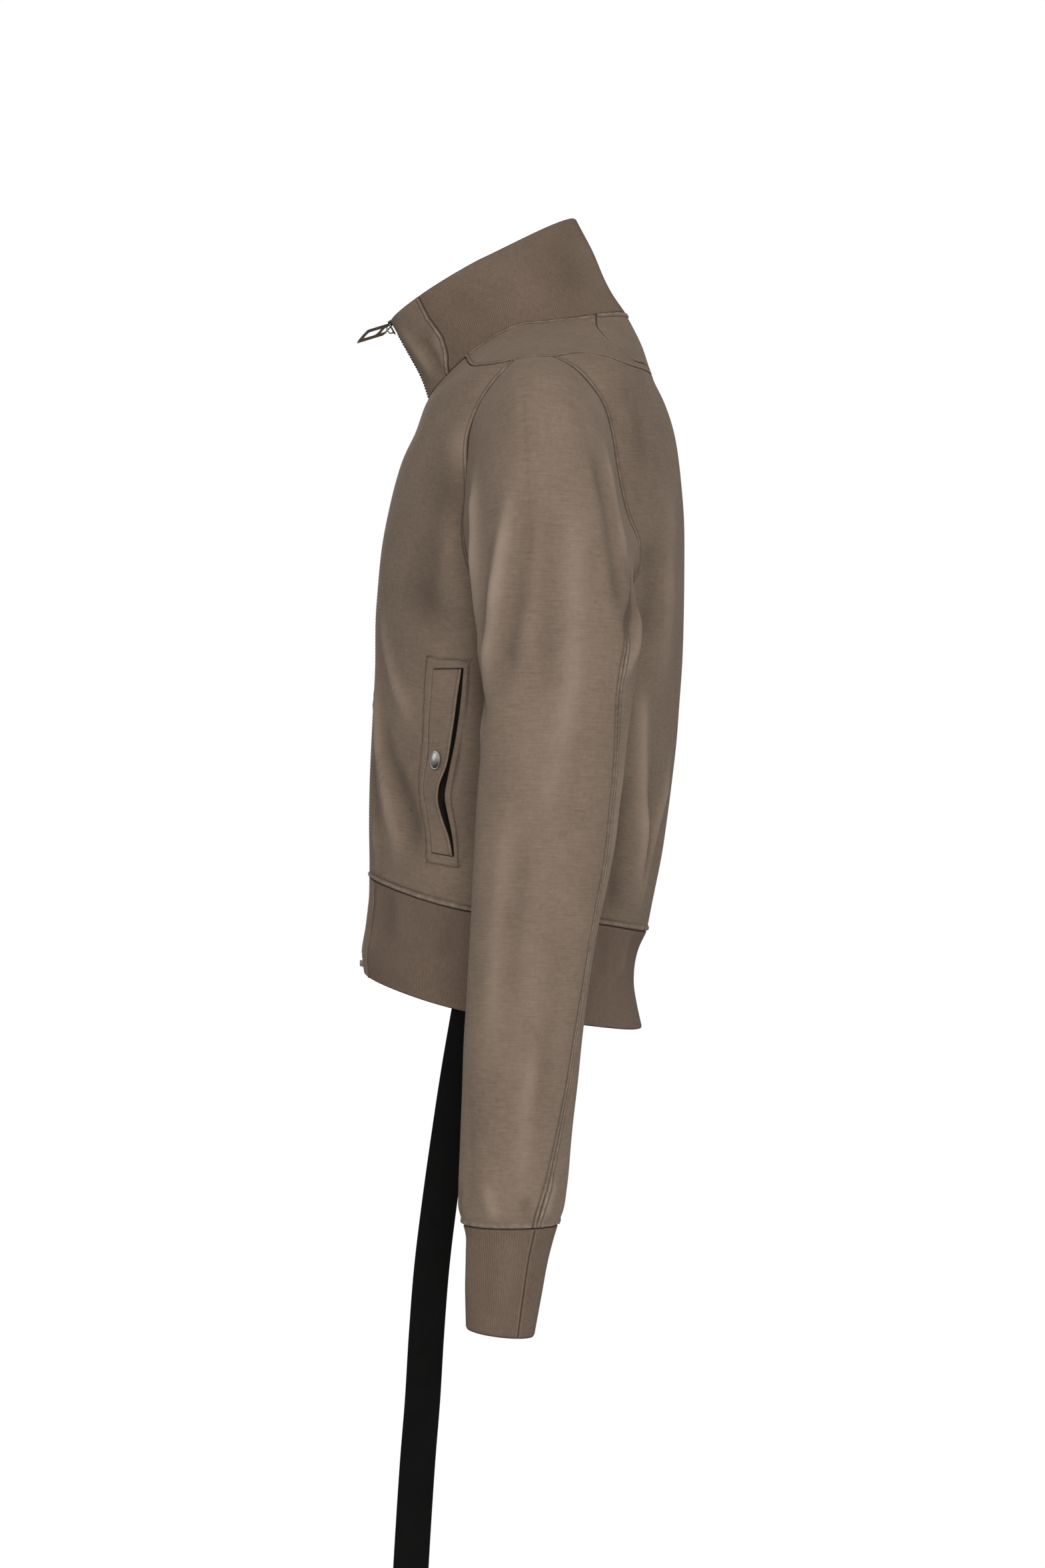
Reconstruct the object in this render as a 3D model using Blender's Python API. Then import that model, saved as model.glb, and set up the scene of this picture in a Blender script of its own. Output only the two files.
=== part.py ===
"""Track jacket with a stand collar, filled out as if worn: every cut piece is its own thin shell.

Metres, +Z up. The front faces -Y, the wearer's left is +X, the origin is on the centre
plane at the height of the shoulders. Tables are in millimetres and degrees.
"""
import bpy
import bmesh
import math
import numpy as np

MM = 0.001
CLOTH = 1.6 * MM          # main fabric wall
RIB = 2.4 * MM            # collar, cuffs and hem band, rib folded double
GAP = 0.15 * MM           # each edge stands back by half of the seam gap
ZIP_EDGE = 4.0 * MM       # front edges stand this far from the centre plane
TAPE_HALF = 14.0 * MM
HEM_FACING = 19.0         # degrees round from the zip
NECK_FRONT = 51.6         # where the front yoke seam leaves the neck
NECK_VEE = 133.2          # where the neck insert starts
SIDE = 95.0               # side seam
UNDERARM = 0.50           # share of the way from hem seam to neck seam
POCKET_UP = (0.077, 0.394)
TIP = 0.875               # centre back tip of the neck insert

# share up, front y, widest y, back y, front z, side z, back z, half width, squareness, bend
TORSO = [
    (0.00, -126.5, -6, 102.8, -450.0, -478, -495, 152, 2.15, 1.6),
    (0.10, -127.0, -2, 115.0, -405.0, -423, -433, 155, 2.15, 1.6),
    (0.25, -125.5, 3, 126.0, -345.0, -350, -350, 161, 2.15, 1.6),
    (0.40, -122.0, 6, 132.0, -280.0, -280, -275, 168, 2.15, 1.6),
    (0.52, -120.8, 8, 133.8, -225.0, -228, -210, 174, 2.15, 1.6),
    (0.63, -113.5, 10, 133.0, -162.0, -175, -145, 180, 2.15, 1.6),
    (0.72, -100.5, 12, 127.0, -110.0, -120, -92, 186, 2.15, 1.6),
    (0.80, -88.5, 13, 118.0, -84.0, -68, -62, 190, 2.15, 1.5),
    (0.86, -82.5, 13, 108.5, -67.5, -42, -42, 184, 2.10, 1.5),
    (0.93, -79.5, 10, 98.8, -59.5, -20, -12, 130, 2.05, 1.5),
    (1.00, -77.4, 4, 85.6, -54.1, 0, 16, 75, 2.00, 1.5),
]
COLLAR = [
    (0.00, -77.4, 4, 85.6, -54.1, 0, 16, 75, 2.00, 1.5),
    (0.30, -84.0, -4, 71.0, -36.0, 17, 38, 74, 2.00, 1.3),
    (0.65, -97.0, -18, 58.5, -12.0, 40, 67, 72, 2.05, 1.1),
    (1.00, -109.4, -32, 44.2, 10.0, 54, 94.5, 68, 2.10, 1.0),
]
BAND = [
    (0.00, -131.0, -15, 98.9, -530.0, -558, -574.5, 150, 2.15, 1.3),
    (0.20, -133.0, -13, 95.0, -515.0, -542, -556, 149, 2.15, 1.4),
    (0.50, -129.5, -12, 92.4, -490.0, -518, -534, 149, 2.15, 1.5),
    (0.85, -126.6, -8, 97.0, -462.0, -490, -507, 151, 2.15, 1.6),
    (1.00, -126.5, -6, 102.8, -450.0, -478, -495, 152, 2.15, 1.6),
]
# degrees round from the zip, share up
ARM_FRONT = [(95, 0.500), (84, 0.508), (75, 0.535), (68, 0.580), (64.4, 0.630), (63.2, 0.679),
             (62.4, 0.714), (61.8, 0.756), (64.4, 0.792), (69.2, 0.821), (79.3, 0.868)]
ARM_TOP = [(79.3, 0.868), (84.7, 0.869), (90.1, 0.869), (96.1, 0.868)]
ARM_BACK = [(96.1, 0.868), (104.1, 0.846), (111.6, 0.810), (116.3, 0.781), (119.3, 0.742),
            (120.8, 0.698), (125.5, 0.626), (130.0, 0.590), (130.5, 0.560), (124, 0.525),
            (110, 0.505), (95, 0.500)]
YOKE_FRONT = [(51.6, 1.000), (55.3, 0.924), (61.7, 0.888), (70.5, 0.871), (79.3, 0.868)]
YOKE_BACK = [(96.1, 0.868), (110.5, 0.882), (123.6, 0.879), (136.7, 0.869), (156, 0.867), (180, TIP - 0.004)]
VEE = [(133.2, 1.000), (128.4, 0.960), (131.7, 0.924), (140, 0.892), (158, 0.883), (180, TIP + 0.004)]
# pocket window, front edge and rear edge
WINDOW_FRONT = [(54.8, 0.394), (54.2, 0.300), (54.4, 0.247), (53.0, 0.200), (52.8, 0.180),
                (54.3, 0.154), (56.5, 0.115), (57.8, 0.077)]
WINDOW_REAR = [(67.1, 0.394), (66.4, 0.330), (65.2, 0.274), (63.0, 0.210), (62.0, 0.170),
               (63.6, 0.140), (65.4, 0.110), (66.8, 0.077)]
WELT_FREE = [(65.9, 0.394), (64.4, 0.350), (62.6, 0.290), (60.6, 0.225), (58.4, 0.184),
             (58.1, 0.165), (60.0, 0.138), (64.4, 0.102), (66.1, 0.077)]
COLLAR_FACING = [(37.5, 0.0), (42.0, 0.2), (45.0, 0.43), (44.5, 0.7), (47.5, 1.0)]

# sleeve sections: height, centre x, centre y, half across, half front to back, squareness
SLEEVE = [
    (-272, 240.5, 27.5, 52.5, 62.3, 2.1),
    (-301, 243.0, 27.6, 51.5, 58.0, 2.1),
    (-331, 245.5, 24.8, 51.0, 55.6, 2.1),
    (-379, 248.5, 20.2, 50.0, 54.4, 2.1),
    (-427, 251.5, 15.4, 48.5, 52.6, 2.1),
    (-472, 254.0, 10.1, 47.0, 49.3, 2.1),
    (-518, 257.0, 5.1, 45.5, 46.9, 2.1),
    (-568, 260.0, 0.4, 44.0, 45.1, 2.1),
    (-609, 262.0, -2.6, 42.5, 43.6, 2.1),
    (-649, 264.0, -5.3, 41.5, 42.2, 2.1),
    (-680, 265.0, -7.5, 41.0, 41.2, 2.1),
    (-697, 265.5, -8.9, 40.0, 39.9, 2.0),
    (-708, 266.0, -9.2, 37.0, 36.2, 2.0),
]
CUFF = [
    (-708, 266.0, -9.2, 37.0, 36.2, 2.0),
    (-716, 266.2, -9.6, 34.5, 34.0, 2.0),
    (-731, 266.6, -11.6, 32.0, 31.8, 2.0),
    (-760, 267.3, -14.5, 31.0, 29.0, 2.0),
    (-790.5, 268.0, -17.0, 30.5, 26.0, 2.0),
]
# strap: height, centre y, centre x below the band
STRAP = [
    (-566, -44.9, 141.0), (-598, -50.2, 140.5), (-650, -58.1, 140.0), (-703, -65.5, 140.0),
    (-756, -71.9, 140.0), (-809, -76.1, 140.0), (-862, -79.3, 140.0), (-915, -83.5, 140.0),
    (-989, -88.2, 140.0), (-1045, -91.0, 140.0),
]
STRAP_HALF, STRAP_THICK = 14.2 * MM, 1.2 * MM

BROWN = (0.150, 0.110, 0.082)
SHADES = {"cloth": (BROWN, 0.95, 0.0), "rib": ((0.125, 0.090, 0.068), 0.95, 0.0),
          "bag": ((0.05, 0.04, 0.032), 0.95, 0.0), "tape": ((0.10, 0.075, 0.055), 0.9, 0.0),
          "metal": ((0.75, 0.75, 0.74), 0.22, 1.0), "strap": ((0.006, 0.006, 0.005), 0.9, 0.0)}


def smooth(knots, table, x):
    """Cubic through the rows of a table, at each x, with slopes from the neighbouring rows."""
    knots, table = np.asarray(knots, float), np.asarray(table, float)
    x = np.clip(np.asarray(x, float), knots[0], knots[-1])
    step = np.diff(knots)[:, None]
    rate = np.diff(table, axis=0) / step
    slope = np.empty_like(table)
    slope[0], slope[-1] = rate[0], rate[-1]
    slope[1:-1] = (rate[:-1] * step[1:] + rate[1:] * step[:-1]) / (step[1:] + step[:-1])
    i = np.clip(np.searchsorted(knots, x, side="right") - 1, 0, len(knots) - 2)
    w = (knots[i + 1] - knots[i])[..., None]
    t = (x - knots[i])[..., None] / w
    return ((2 * t**3 - 3 * t**2 + 1) * table[i] + (t**3 - 2 * t**2 + t) * w * slope[i]
            + (3 * t**2 - 2 * t**3) * table[i + 1] + (t**3 - t**2) * w * slope[i + 1])


def rings(table, turn, up):
    """Points on the body form whose rings are the rows of a table."""
    turn, up = np.broadcast_arrays(np.asarray(turn, float), np.asarray(up, float))
    rows = np.array(table, float)
    yf, ys, yb, zf, zs, zb, wide, square, bend = np.moveaxis(smooth(rows[:, 0], rows[:, 1:], up), -1, 0)
    c, s = np.cos(np.radians(turn)), np.sin(np.radians(turn))
    front = c > 0
    return MM * np.stack([
        wide * np.sign(s) * np.abs(s) ** (2 / square),
        ys + (np.where(front, yf, yb) - ys) * np.abs(c) ** (2 / square),
        zs + (np.where(front, zf, zb) - zs) * np.abs(c) ** bend], -1)


def outward(table, turn, up):
    """Unit normal of the form, from small steps round and up it."""
    lo, hi = np.maximum(np.asarray(up) - 1e-3, 0), np.minimum(np.asarray(up) + 1e-3, 1)
    side = rings(table, np.asarray(turn) + 0.2, up) - rings(table, np.asarray(turn) - 0.2, up)
    n = np.cross(side, rings(table, turn, hi) - rings(table, turn, lo))
    return n / np.linalg.norm(n, axis=-1, keepdims=True)


def edge_turn(table, up, x=ZIP_EDGE):
    """Degrees round at which the form is x away from the centre plane at the front."""
    rows = np.array(table, float)
    wide, square = np.moveaxis(smooth(rows[:, 0], rows[:, 7:9], up), -1, 0)
    return np.degrees(np.arcsin((x / MM / wide) ** (square / 2)))


def walk(points, count, table=TORSO):
    """count equal steps along a smooth line through points (degrees, share), measured on the form."""
    points = np.array(points, float)
    knots = np.r_[0, np.cumsum(np.linalg.norm(np.diff(rings(table, *points.T), axis=0), axis=1))]
    fine = smooth(knots, points, np.linspace(0, knots[-1], 400))
    run = np.r_[0, np.cumsum(np.linalg.norm(np.diff(rings(table, *fine.T), axis=0), axis=1))]
    at = np.linspace(0, run[-1], count + 1)
    return np.stack([np.interp(at, run, fine[:, 0]), np.interp(at, run, fine[:, 1])], -1)


def join(*lines):
    return np.concatenate([lines[0]] + [line[1:] for line in lines[1:]])


def level(start, end, count, up):
    return np.stack([np.linspace(start, end, count + 1), np.full(count + 1, up)], -1)


def patch(bottom, right, top, left):
    """Coons patch in (degrees, share) between four lines of matching counts."""
    u = np.linspace(0, 1, len(bottom))[:, None, None]
    t = np.linspace(0, 1, len(left))[None, :, None]
    return ((1 - t) * bottom[:, None] + t * top[:, None] + (1 - u) * left[None] + u * right[None]
            - (1 - u) * (1 - t) * bottom[0] - u * (1 - t) * bottom[-1]
            - (1 - u) * t * top[0] - u * t * top[-1])


def lens(bottom, top, rows, first=0.15, last=0.15):
    """Patch between two lines that meet at both ends, with the sharp tips cut off."""
    low, high = bottom.copy(), top.copy()
    for line in (low, high):
        line[0] += (line[1] - line[0]) * first
        line[-1] += (line[-2] - line[-1]) * last
    t = np.linspace(0, 1, rows + 1)[None, :, None]
    return (1 - t) * low[:, None] + t * high[:, None]


def paint(ob, kind):
    colour, rough, metal = SHADES[kind]
    mat = bpy.data.materials.new(ob.name)
    mat.use_nodes = True
    node = mat.node_tree.nodes["Principled BSDF"]
    node.inputs["Base Color"].default_value = (*colour, 1)
    node.inputs["Roughness"].default_value = rough
    node.inputs["Metallic"].default_value = metal
    mat.diffuse_color = (*colour, 1)
    ob.data.materials.append(mat)


def make(name, verts, faces, kind):
    mesh = bpy.data.meshes.new(name)
    mesh.from_pydata([tuple(v) for v in verts], [], [tuple(f) for f in faces])
    mesh.validate()
    mesh.polygons.foreach_set("use_smooth", [True] * len(mesh.polygons))
    mesh.set_sharp_from_angle(angle=math.radians(50))
    ob = bpy.data.objects.new(name, mesh)
    bpy.context.collection.objects.link(ob)
    paint(ob, kind)
    return ob


def shell(name, outer, inner, kind, keep=None, ring=False, flip=False):
    """Closed wall between an outer and an inner grid; keep leaves cells out, ring joins first to last.

    Each edge of the cloth stands back by GAP, in the plane of the cloth.
    """
    nu, nv = outer.shape[:2]
    outer, inner = outer.reshape(-1, 3).copy(), inner.reshape(-1, 3).copy()
    quads = []
    for i in range(nu if ring else nu - 1):
        for j in range(nv - 1):
            if keep is None or keep[i, j]:
                k = (i + 1) % nu
                quads.append((i * nv + j, k * nv + j, k * nv + j + 1, i * nv + j + 1))
    owner = {(q[a], q[(a + 1) % 4]): q for q in quads for a in range(4)}
    border = [e for e in sorted(owner) if e[::-1] not in owner]
    pushes = {}
    for a, b in border:
        q = outer[list(owner[a, b])]
        push = np.cross(np.cross(q[2] - q[0], q[3] - q[1]), outer[b] - outer[a])
        push /= np.linalg.norm(push)
        pushes.setdefault(a, []).append(push)
        pushes.setdefault(b, []).append(push)
    for v, pair in pushes.items():
        move = GAP * sum(pair) / (1 if len(pair) == 1 else max(1 + pair[0] @ pair[1], 0.35))
        outer[v] += move
        inner[v] += move
    n = nu * nv
    faces = list(quads) + [tuple(v + n for v in reversed(q)) for q in quads]
    faces += [(b, a, a + n, b + n) for a, b in border]
    used = sorted({v for f in faces for v in f})
    place = {v: i for i, v in enumerate(used)}
    verts = np.concatenate([outer, inner])[used]
    if flip:
        verts = verts * [-1, 1, 1]
        faces = [tuple(reversed(f)) for f in faces]
    return make(name, verts, [[place[v] for v in f] for f in faces], kind)


def panel(name, table, grid, wall, kind, keep=None, flip=False):
    """A cut piece on a form: grid holds degrees round and share up. The walls meet in a mitre at the hem."""
    points = rings(table, grid[..., 0], grid[..., 1])
    normals = outward(table, grid[..., 0], grid[..., 1])
    for other, share, edge in ((BAND, 1, 0), (TORSO, 0, -1)):
        if table is not other and abs(grid[0, edge, 1] + share - 1) < 1e-6 and table is not COLLAR:
            both = normals[:, edge] + outward(other, grid[:, edge, 0], 0 * grid[:, edge, 1] + share)
            normals[:, edge] = both / np.linalg.norm(both, axis=-1, keepdims=True)
    inner = points - wall * normals
    return shell(name, points, inner, kind, keep, False, flip)


# ---------------------------------------------------------------- shared seam lines
def mirror(line):
    out = line[::-1].copy()
    out[:, 0] = 360 - out[:, 0]
    return out


arm_front, arm_top, arm_back = walk(ARM_FRONT, 12), walk(ARM_TOP, 4), walk(ARM_BACK, 12)
yoke_front, yoke_back, vee = walk(YOKE_FRONT, 5), walk(YOKE_BACK, 8), walk(VEE, 8)
rows_low = np.r_[0, 0.04, np.linspace(*POCKET_UP, 9), 0.447, UNDERARM]
side_up = np.stack([np.full(13, SIDE), rows_low], -1)
# neck seam from zip edge to centre back: facing, front, yoke, insert
neck = (level(edge_turn(TORSO, 1.0), COLLAR_FACING[0][0], 5, 1.0), level(COLLAR_FACING[0][0], NECK_FRONT, 2, 1.0),
        level(NECK_FRONT, NECK_VEE, 9, 1.0), level(NECK_VEE, 180, 8, 1.0))
# hem seam from zip edge to centre back: facing, front, pocket, behind pocket, under the arm, back
hem = (level(edge_turn(TORSO, 0.0), HEM_FACING, 4, 0.0), level(HEM_FACING, 57, 3, 0.0),
       level(57, 66.5, 3, 0.0), level(66.5, 77, 2, 0.0), level(77, SIDE, 3, 0.0),
       level(SIDE, 123, 4, 0.0), level(123, 180, 8, 0.0))


# ---------------------------------------------------------------- sleeve form
def section(table, height, angle):
    """Ring of a tube at a height; angle 0 is the side next to the body, 90 the front."""
    rows = np.array(table, float)
    cx, cy, across, deep, square = np.moveaxis(smooth(-rows[:, 0], rows[:, 1:], -np.asarray(height)), -1, 0)
    c, s = np.cos(np.radians(angle)), np.sin(np.radians(angle))
    x = cx - across * np.sign(c) * np.abs(c) ** (2 / square)
    y = cy - deep * np.sign(s) * np.abs(s) ** (2 / square)
    return MM * np.stack([x, y, np.broadcast_to(height, x.shape) * 1.0 + 0.0 * x], -1)


arm_loop = join(arm_front, arm_top, arm_back)[:-1]
arm_points = rings(TORSO, *arm_loop.T)
arm_body = outward(TORSO, *arm_loop.T)
run = np.r_[0, np.cumsum(np.linalg.norm(np.diff(np.vstack([arm_points, arm_points[:1]]), axis=0), axis=1))]
arm_angle = 360 * run[:-1] / run[-1]
along = np.roll(arm_points, -1, 0) - np.roll(arm_points, 1, 0)
along /= np.linalg.norm(along, axis=1, keepdims=True)
into_arm = np.cross(along, arm_body)
into_arm *= np.sign(np.sum(into_arm * (arm_points.mean(0) - arm_points), 1, keepdims=True))


def sleeve_points(rows_cap=8, rows_down=15):
    """Grid of the sleeve: Hermite lines from the armhole to the first section, then the sections."""
    end = section(SLEEVE, SLEEVE[0][0], arm_angle)
    reach = np.linalg.norm(end - arm_points, axis=1, keepdims=True)
    start_pull = 0.95 * np.array([[1.0, 0, 0]]) + 0.30 * into_arm
    end_pull = np.array([[0.06, 0, -1.0]])
    t = np.linspace(0, 1, rows_cap + 1)[None, :, None]
    cap = ((2 * t**3 - 3 * t**2 + 1) * arm_points[:, None] + (t**3 - 2 * t**2 + t) * (reach * start_pull)[:, None]
           + (3 * t**2 - 2 * t**3) * end[:, None] + (t**3 - t**2) * (reach * end_pull)[:, None])
    heights = np.linspace(SLEEVE[0][0], SLEEVE[-1][0], rows_down + 1)[1:]
    tube = section(SLEEVE, heights[None, :] + 0 * arm_angle[:, None], arm_angle[:, None] + 0 * heights[None])
    return np.concatenate([cap, tube], 1)


def ring_normals(points):
    """Outward normals of a tube grid whose first index runs round it."""
    round_ = np.roll(points, -1, 0) - np.roll(points, 1, 0)
    down = np.gradient(points, axis=1)
    n = np.cross(round_, down)
    n /= np.linalg.norm(n, axis=-1, keepdims=True)
    centre = points.mean(0, keepdims=True)
    return n * np.sign(np.sum(n[:, -1] * (points - centre)[:, -1]))


sleeve_grid = sleeve_points()
sleeve_norm = ring_normals(sleeve_grid)


# ---------------------------------------------------------------- pieces
def pocket_column(foot, edge, way, head):
    """Column of the front panel that follows one edge of the pocket window, foot to head."""
    edge, at = np.array(edge[::-1], float), np.linspace(*POCKET_UP, 9)
    middle = np.stack([np.interp(at, edge[:, 1], edge[:, 0]), at], -1)
    low = np.stack([np.linspace(foot, middle[0, 0], 3), rows_low[:3]], -1)
    return join(low, middle, walk([tuple(middle[-1])] + way + [tuple(head)], 11))


def front_grid():
    """Front panel in patches side by side, each in a part below and a part beside the armhole."""
    top = join(neck[0], neck[1], yoke_front)
    shares = np.r_[rows_low, np.linspace(UNDERARM, 1, 10)[1:]]
    columns = [np.stack([edge_turn(TORSO, shares), shares], -1),
               pocket_column(57, WINDOW_FRONT, [(47, 0.6), (41, 0.75), (43, 0.89)], top[7]),
               pocket_column(66.5, WINDOW_REAR, [(58, 0.56), (51.5, 0.70), (52.5, 0.83)], top[10]),
               join(np.stack([np.linspace(77, arm_front[3, 0], 13),
                              rows_low * arm_front[3, 1] / UNDERARM], -1), arm_front[3:])]
    foot = (join(hem[0], hem[1]), hem[2], hem[3])
    heads = (top[:8], top[7:11], top[10:13])
    low, high = [], []
    for a, b, start, end in zip(columns, columns[1:], foot, heads):
        ends = np.stack([a[12], b[12]])
        share = np.linspace(0, 1, len(start))[:, None]
        middle = ends[0] + share * (ends[1] - ends[0])
        low.append(patch(start, b[:13], middle, a[:13]))
        high.append(patch(middle, b[12:], end, a[12:]))
    low.append(patch(hem[4], side_up, arm_front[:4][::-1], columns[3][:13]))
    high.append(np.repeat(high[-1][-1:], 4, 0))
    low = np.concatenate([low[0]] + [block_[1:] for block_ in low[1:]])
    high = np.concatenate([high[0]] + [block_[1:] for block_ in high[1:]])
    return np.concatenate([low, high[:, 1:]], 1)


def build_front(side, flip):
    grid = front_grid()
    keep = np.ones((grid.shape[0] - 1, grid.shape[1] - 1), bool)
    keep[7:10, 2:10] = False
    keep[12:, 12:] = False
    panel("front_" + side, TORSO, grid, CLOTH, "cloth", keep, flip)


def build_back():
    """Back panel: full width below the underarm, between the armholes above it."""
    foot, head = join(hem[5], hem[6]), join(yoke_back, mirror(yoke_back))
    corner = arm_back[8]
    across = np.stack([np.linspace(corner[0], 180, 9),
                       corner[1] + 0.02 * np.sin(np.linspace(0, 90, 9) * np.pi / 180)], -1)
    middle = join(arm_back[8:][::-1], across)
    low = patch(join(foot, mirror(foot)), mirror(side_up)[::-1], join(middle, mirror(middle)), side_up)
    left = arm_back[:9][::-1]
    high = patch(join(across, mirror(across)), mirror(left)[::-1], head, left)
    high = np.concatenate([np.repeat(high[:1], 4, 0), high, np.repeat(high[-1:], 4, 0)], 0)
    keep = np.ones((24, 20), bool)
    keep[:4, 12:] = keep[-4:, 12:] = False
    panel("back", TORSO, np.concatenate([low, high[:, 1:]], 1), CLOTH, "cloth", keep)


def build_yoke(side, flip):
    bottom, top = join(yoke_front, arm_top, yoke_back), join(neck[2], vee)
    panel("yoke_" + side, TORSO, lens(bottom, top, 3, 0.15, 0.5), CLOTH, "cloth", None, flip)


def build_insert():
    panel("neck_insert", TORSO, lens(join(vee, mirror(vee)), join(neck[3], mirror(neck[3])), 3), CLOTH, "cloth")


def facing_line(table, rows, edge):
    edge = np.array(edge, float)
    return np.stack([np.interp(rows, edge[:, 1], edge[:, 0]), rows], -1)


def build_collar():
    rows = np.linspace(0, 1, 7)
    edge = facing_line(COLLAR, rows, COLLAR_FACING)
    half = join(neck[1], neck[2], neck[3])
    bottom = join(half, mirror(half))
    share = (bottom[:, 0] - bottom[0, 0]) / (bottom[-1, 0] - bottom[0, 0])
    grid = np.stack([edge[None, :, 0] + share[:, None] * (360 - 2 * edge[None, :, 0]),
                     np.broadcast_to(rows, (len(share), 7))], -1)
    panel("collar", COLLAR, grid, RIB, "rib")
    share, start = np.linspace(0, 1, 6), edge_turn(COLLAR, rows)
    grid = np.stack([start[None] + share[:, None] * (edge[None, :, 0] - start[None]),
                     np.broadcast_to(rows, (6, 7))], -1)
    for side, flip in (("left", False), ("right", True)):
        panel("collar_facing_" + side, COLLAR, grid, RIB, "cloth", None, flip)


def build_hem():
    rows = np.linspace(0, 1, 6)
    half = join(*hem[1:])
    top = join(half, mirror(half))
    panel("hem_band", BAND, np.stack(np.broadcast_arrays(top[:, None, 0], rows[None]), -1), RIB, "rib")
    share, start = np.linspace(0, 1, 5), edge_turn(BAND, rows)
    grid = np.stack([start[None] + share[:, None] * (HEM_FACING - start[None]),
                     np.broadcast_to(rows, (5, 6))], -1)
    for side, flip in (("left", False), ("right", True)):
        panel("hem_facing_" + side, BAND, grid, RIB, "cloth", None, flip)


def build_sleeve(side, flip):
    inner = sleeve_grid - CLOTH * sleeve_norm
    shell("sleeve_" + side, sleeve_grid[:, ::-1], inner[:, ::-1], "cloth", None, True, flip)
    heights = np.array([row[0] for row in CUFF], float)
    tube = section(CUFF, heights[None] + 0 * arm_angle[:, None], arm_angle[:, None] + 0 * heights[None])
    tilt = np.linspace(0, 3.0, len(heights)) * MM
    tube[..., 2] -= tilt[None] * (tube[..., 1] - tube[..., 1].mean(0)) / (26 * MM)
    inner = tube - RIB * ring_normals(tube)
    shell("cuff_" + side, tube[:, ::-1], inner[:, ::-1], "rib", None, True, flip)


def build_pocket(side, flip):
    """Welt in the window, standing out along its free edge, a bag behind it and a snap on it."""
    at = np.linspace(*POCKET_UP, 9)
    front, free = (np.array(line[::-1], float) for line in (WINDOW_FRONT, WELT_FREE))
    a, b = np.interp(at, front[:, 1], front[:, 0]), np.interp(at, free[:, 1], free[:, 0])
    share = np.linspace(0, 1, 4)
    grid = np.stack([a[None] + share[:, None] * (b - a)[None], np.broadcast_to(at, (4, 9))], -1)
    points, norms = rings(TORSO, *np.moveaxis(grid, -1, 0)), outward(TORSO, *np.moveaxis(grid, -1, 0))
    swell = np.sin(np.pi * (at - at[0]) / (at[-1] - at[0]))
    proud = (0.5 + 6.5 * share[:, None] ** 1.4 * swell[None]) * MM
    outer = points + proud[..., None] * norms
    inner = outer - 2.2 * MM * norms
    shell("welt_" + side, outer, inner, "cloth", None, False, flip)

    bag_turn, bag_up = np.linspace(44, 76, 7), np.linspace(0.045, 0.425, 9)
    turn, up = np.meshgrid(bag_turn, bag_up, indexing="ij")
    points, norms = rings(TORSO, turn, up), outward(TORSO, turn, up)
    s, t = np.linspace(0, 1, 7)[:, None], np.linspace(0, 1, 9)[None]
    depth = (CLOTH + 1.0 * MM) + 11.0 * MM * (np.sin(np.pi * s) * np.sin(np.pi * t))
    outer = points - depth[..., None] * norms
    shell("pocket_bag_" + side, outer, outer - 1.0 * MM * norms, "bag", None, False, flip)

    seat, lean = 0.5 * (outer_at(grid, proud, 1, 4) + outer_at(grid, proud, 2, 4)), norms_at(grid, proud)
    profile = [(0, 0), (6.6, 0), (7.5, 0.5), (7.5, 1.1), (6.8, 1.7), (5.2, 2.5), (3.0, 3.0), (0, 3.2)]
    turned("snap_" + side, seat + 1.0 * MM * lean, lean, profile, "metal", flip)


def outer_at(grid, proud, i, j):
    return (rings(TORSO, *grid[i, j]) + proud[i, j] * outward(TORSO, *grid[i, j])).reshape(3)


def norms_at(grid, proud):
    """Normal of the welt's face at its middle."""
    p = [outer_at(grid, proud, i, j) for i, j in ((0, 4), (3, 4), (1, 3), (1, 5))]
    n = np.cross(p[1] - p[0], p[3] - p[2])
    return n / np.linalg.norm(n)


def turned(name, base, axis, profile, kind, flip, count=24):
    """Solid of revolution; profile rows are radius and height in millimetres."""
    side = np.cross(axis, [0, 0, 1.0])
    side /= np.linalg.norm(side)
    other = np.cross(axis, side)
    verts, faces = [], []
    for r, h in profile[1:-1]:
        for k in range(count):
            a = 2 * math.pi * k / count
            verts.append(base + MM * (h * axis + r * (math.cos(a) * side + math.sin(a) * other)))
    low, high = len(verts), len(verts) + 1
    verts += [base + MM * profile[0][1] * axis, base + MM * profile[-1][1] * axis]
    rows = len(profile) - 2
    for k in range(count):
        n = (k + 1) % count
        faces.append((low, n, k))
        faces += [(r * count + k, r * count + n, (r + 1) * count + n, (r + 1) * count + k)
                  for r in range(rows - 1)]
        faces.append((high, (rows - 1) * count + k, (rows - 1) * count + n))
    verts = np.array(verts)
    if flip:
        verts[:, 0] *= -1
        faces = [tuple(reversed(f)) for f in faces]
    make(name, verts, faces, kind)


def centre_line():
    """Rows down the zip: form, share up; from just under the collar's top to the band's foot."""
    return [(COLLAR, s) for s in np.linspace(0.955, 0.0, 8)] + \
        [(TORSO, s) for s in np.linspace(0.975, 0.0, 22)] + [(BAND, s) for s in np.linspace(0.93, 0.18, 5)]


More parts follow.
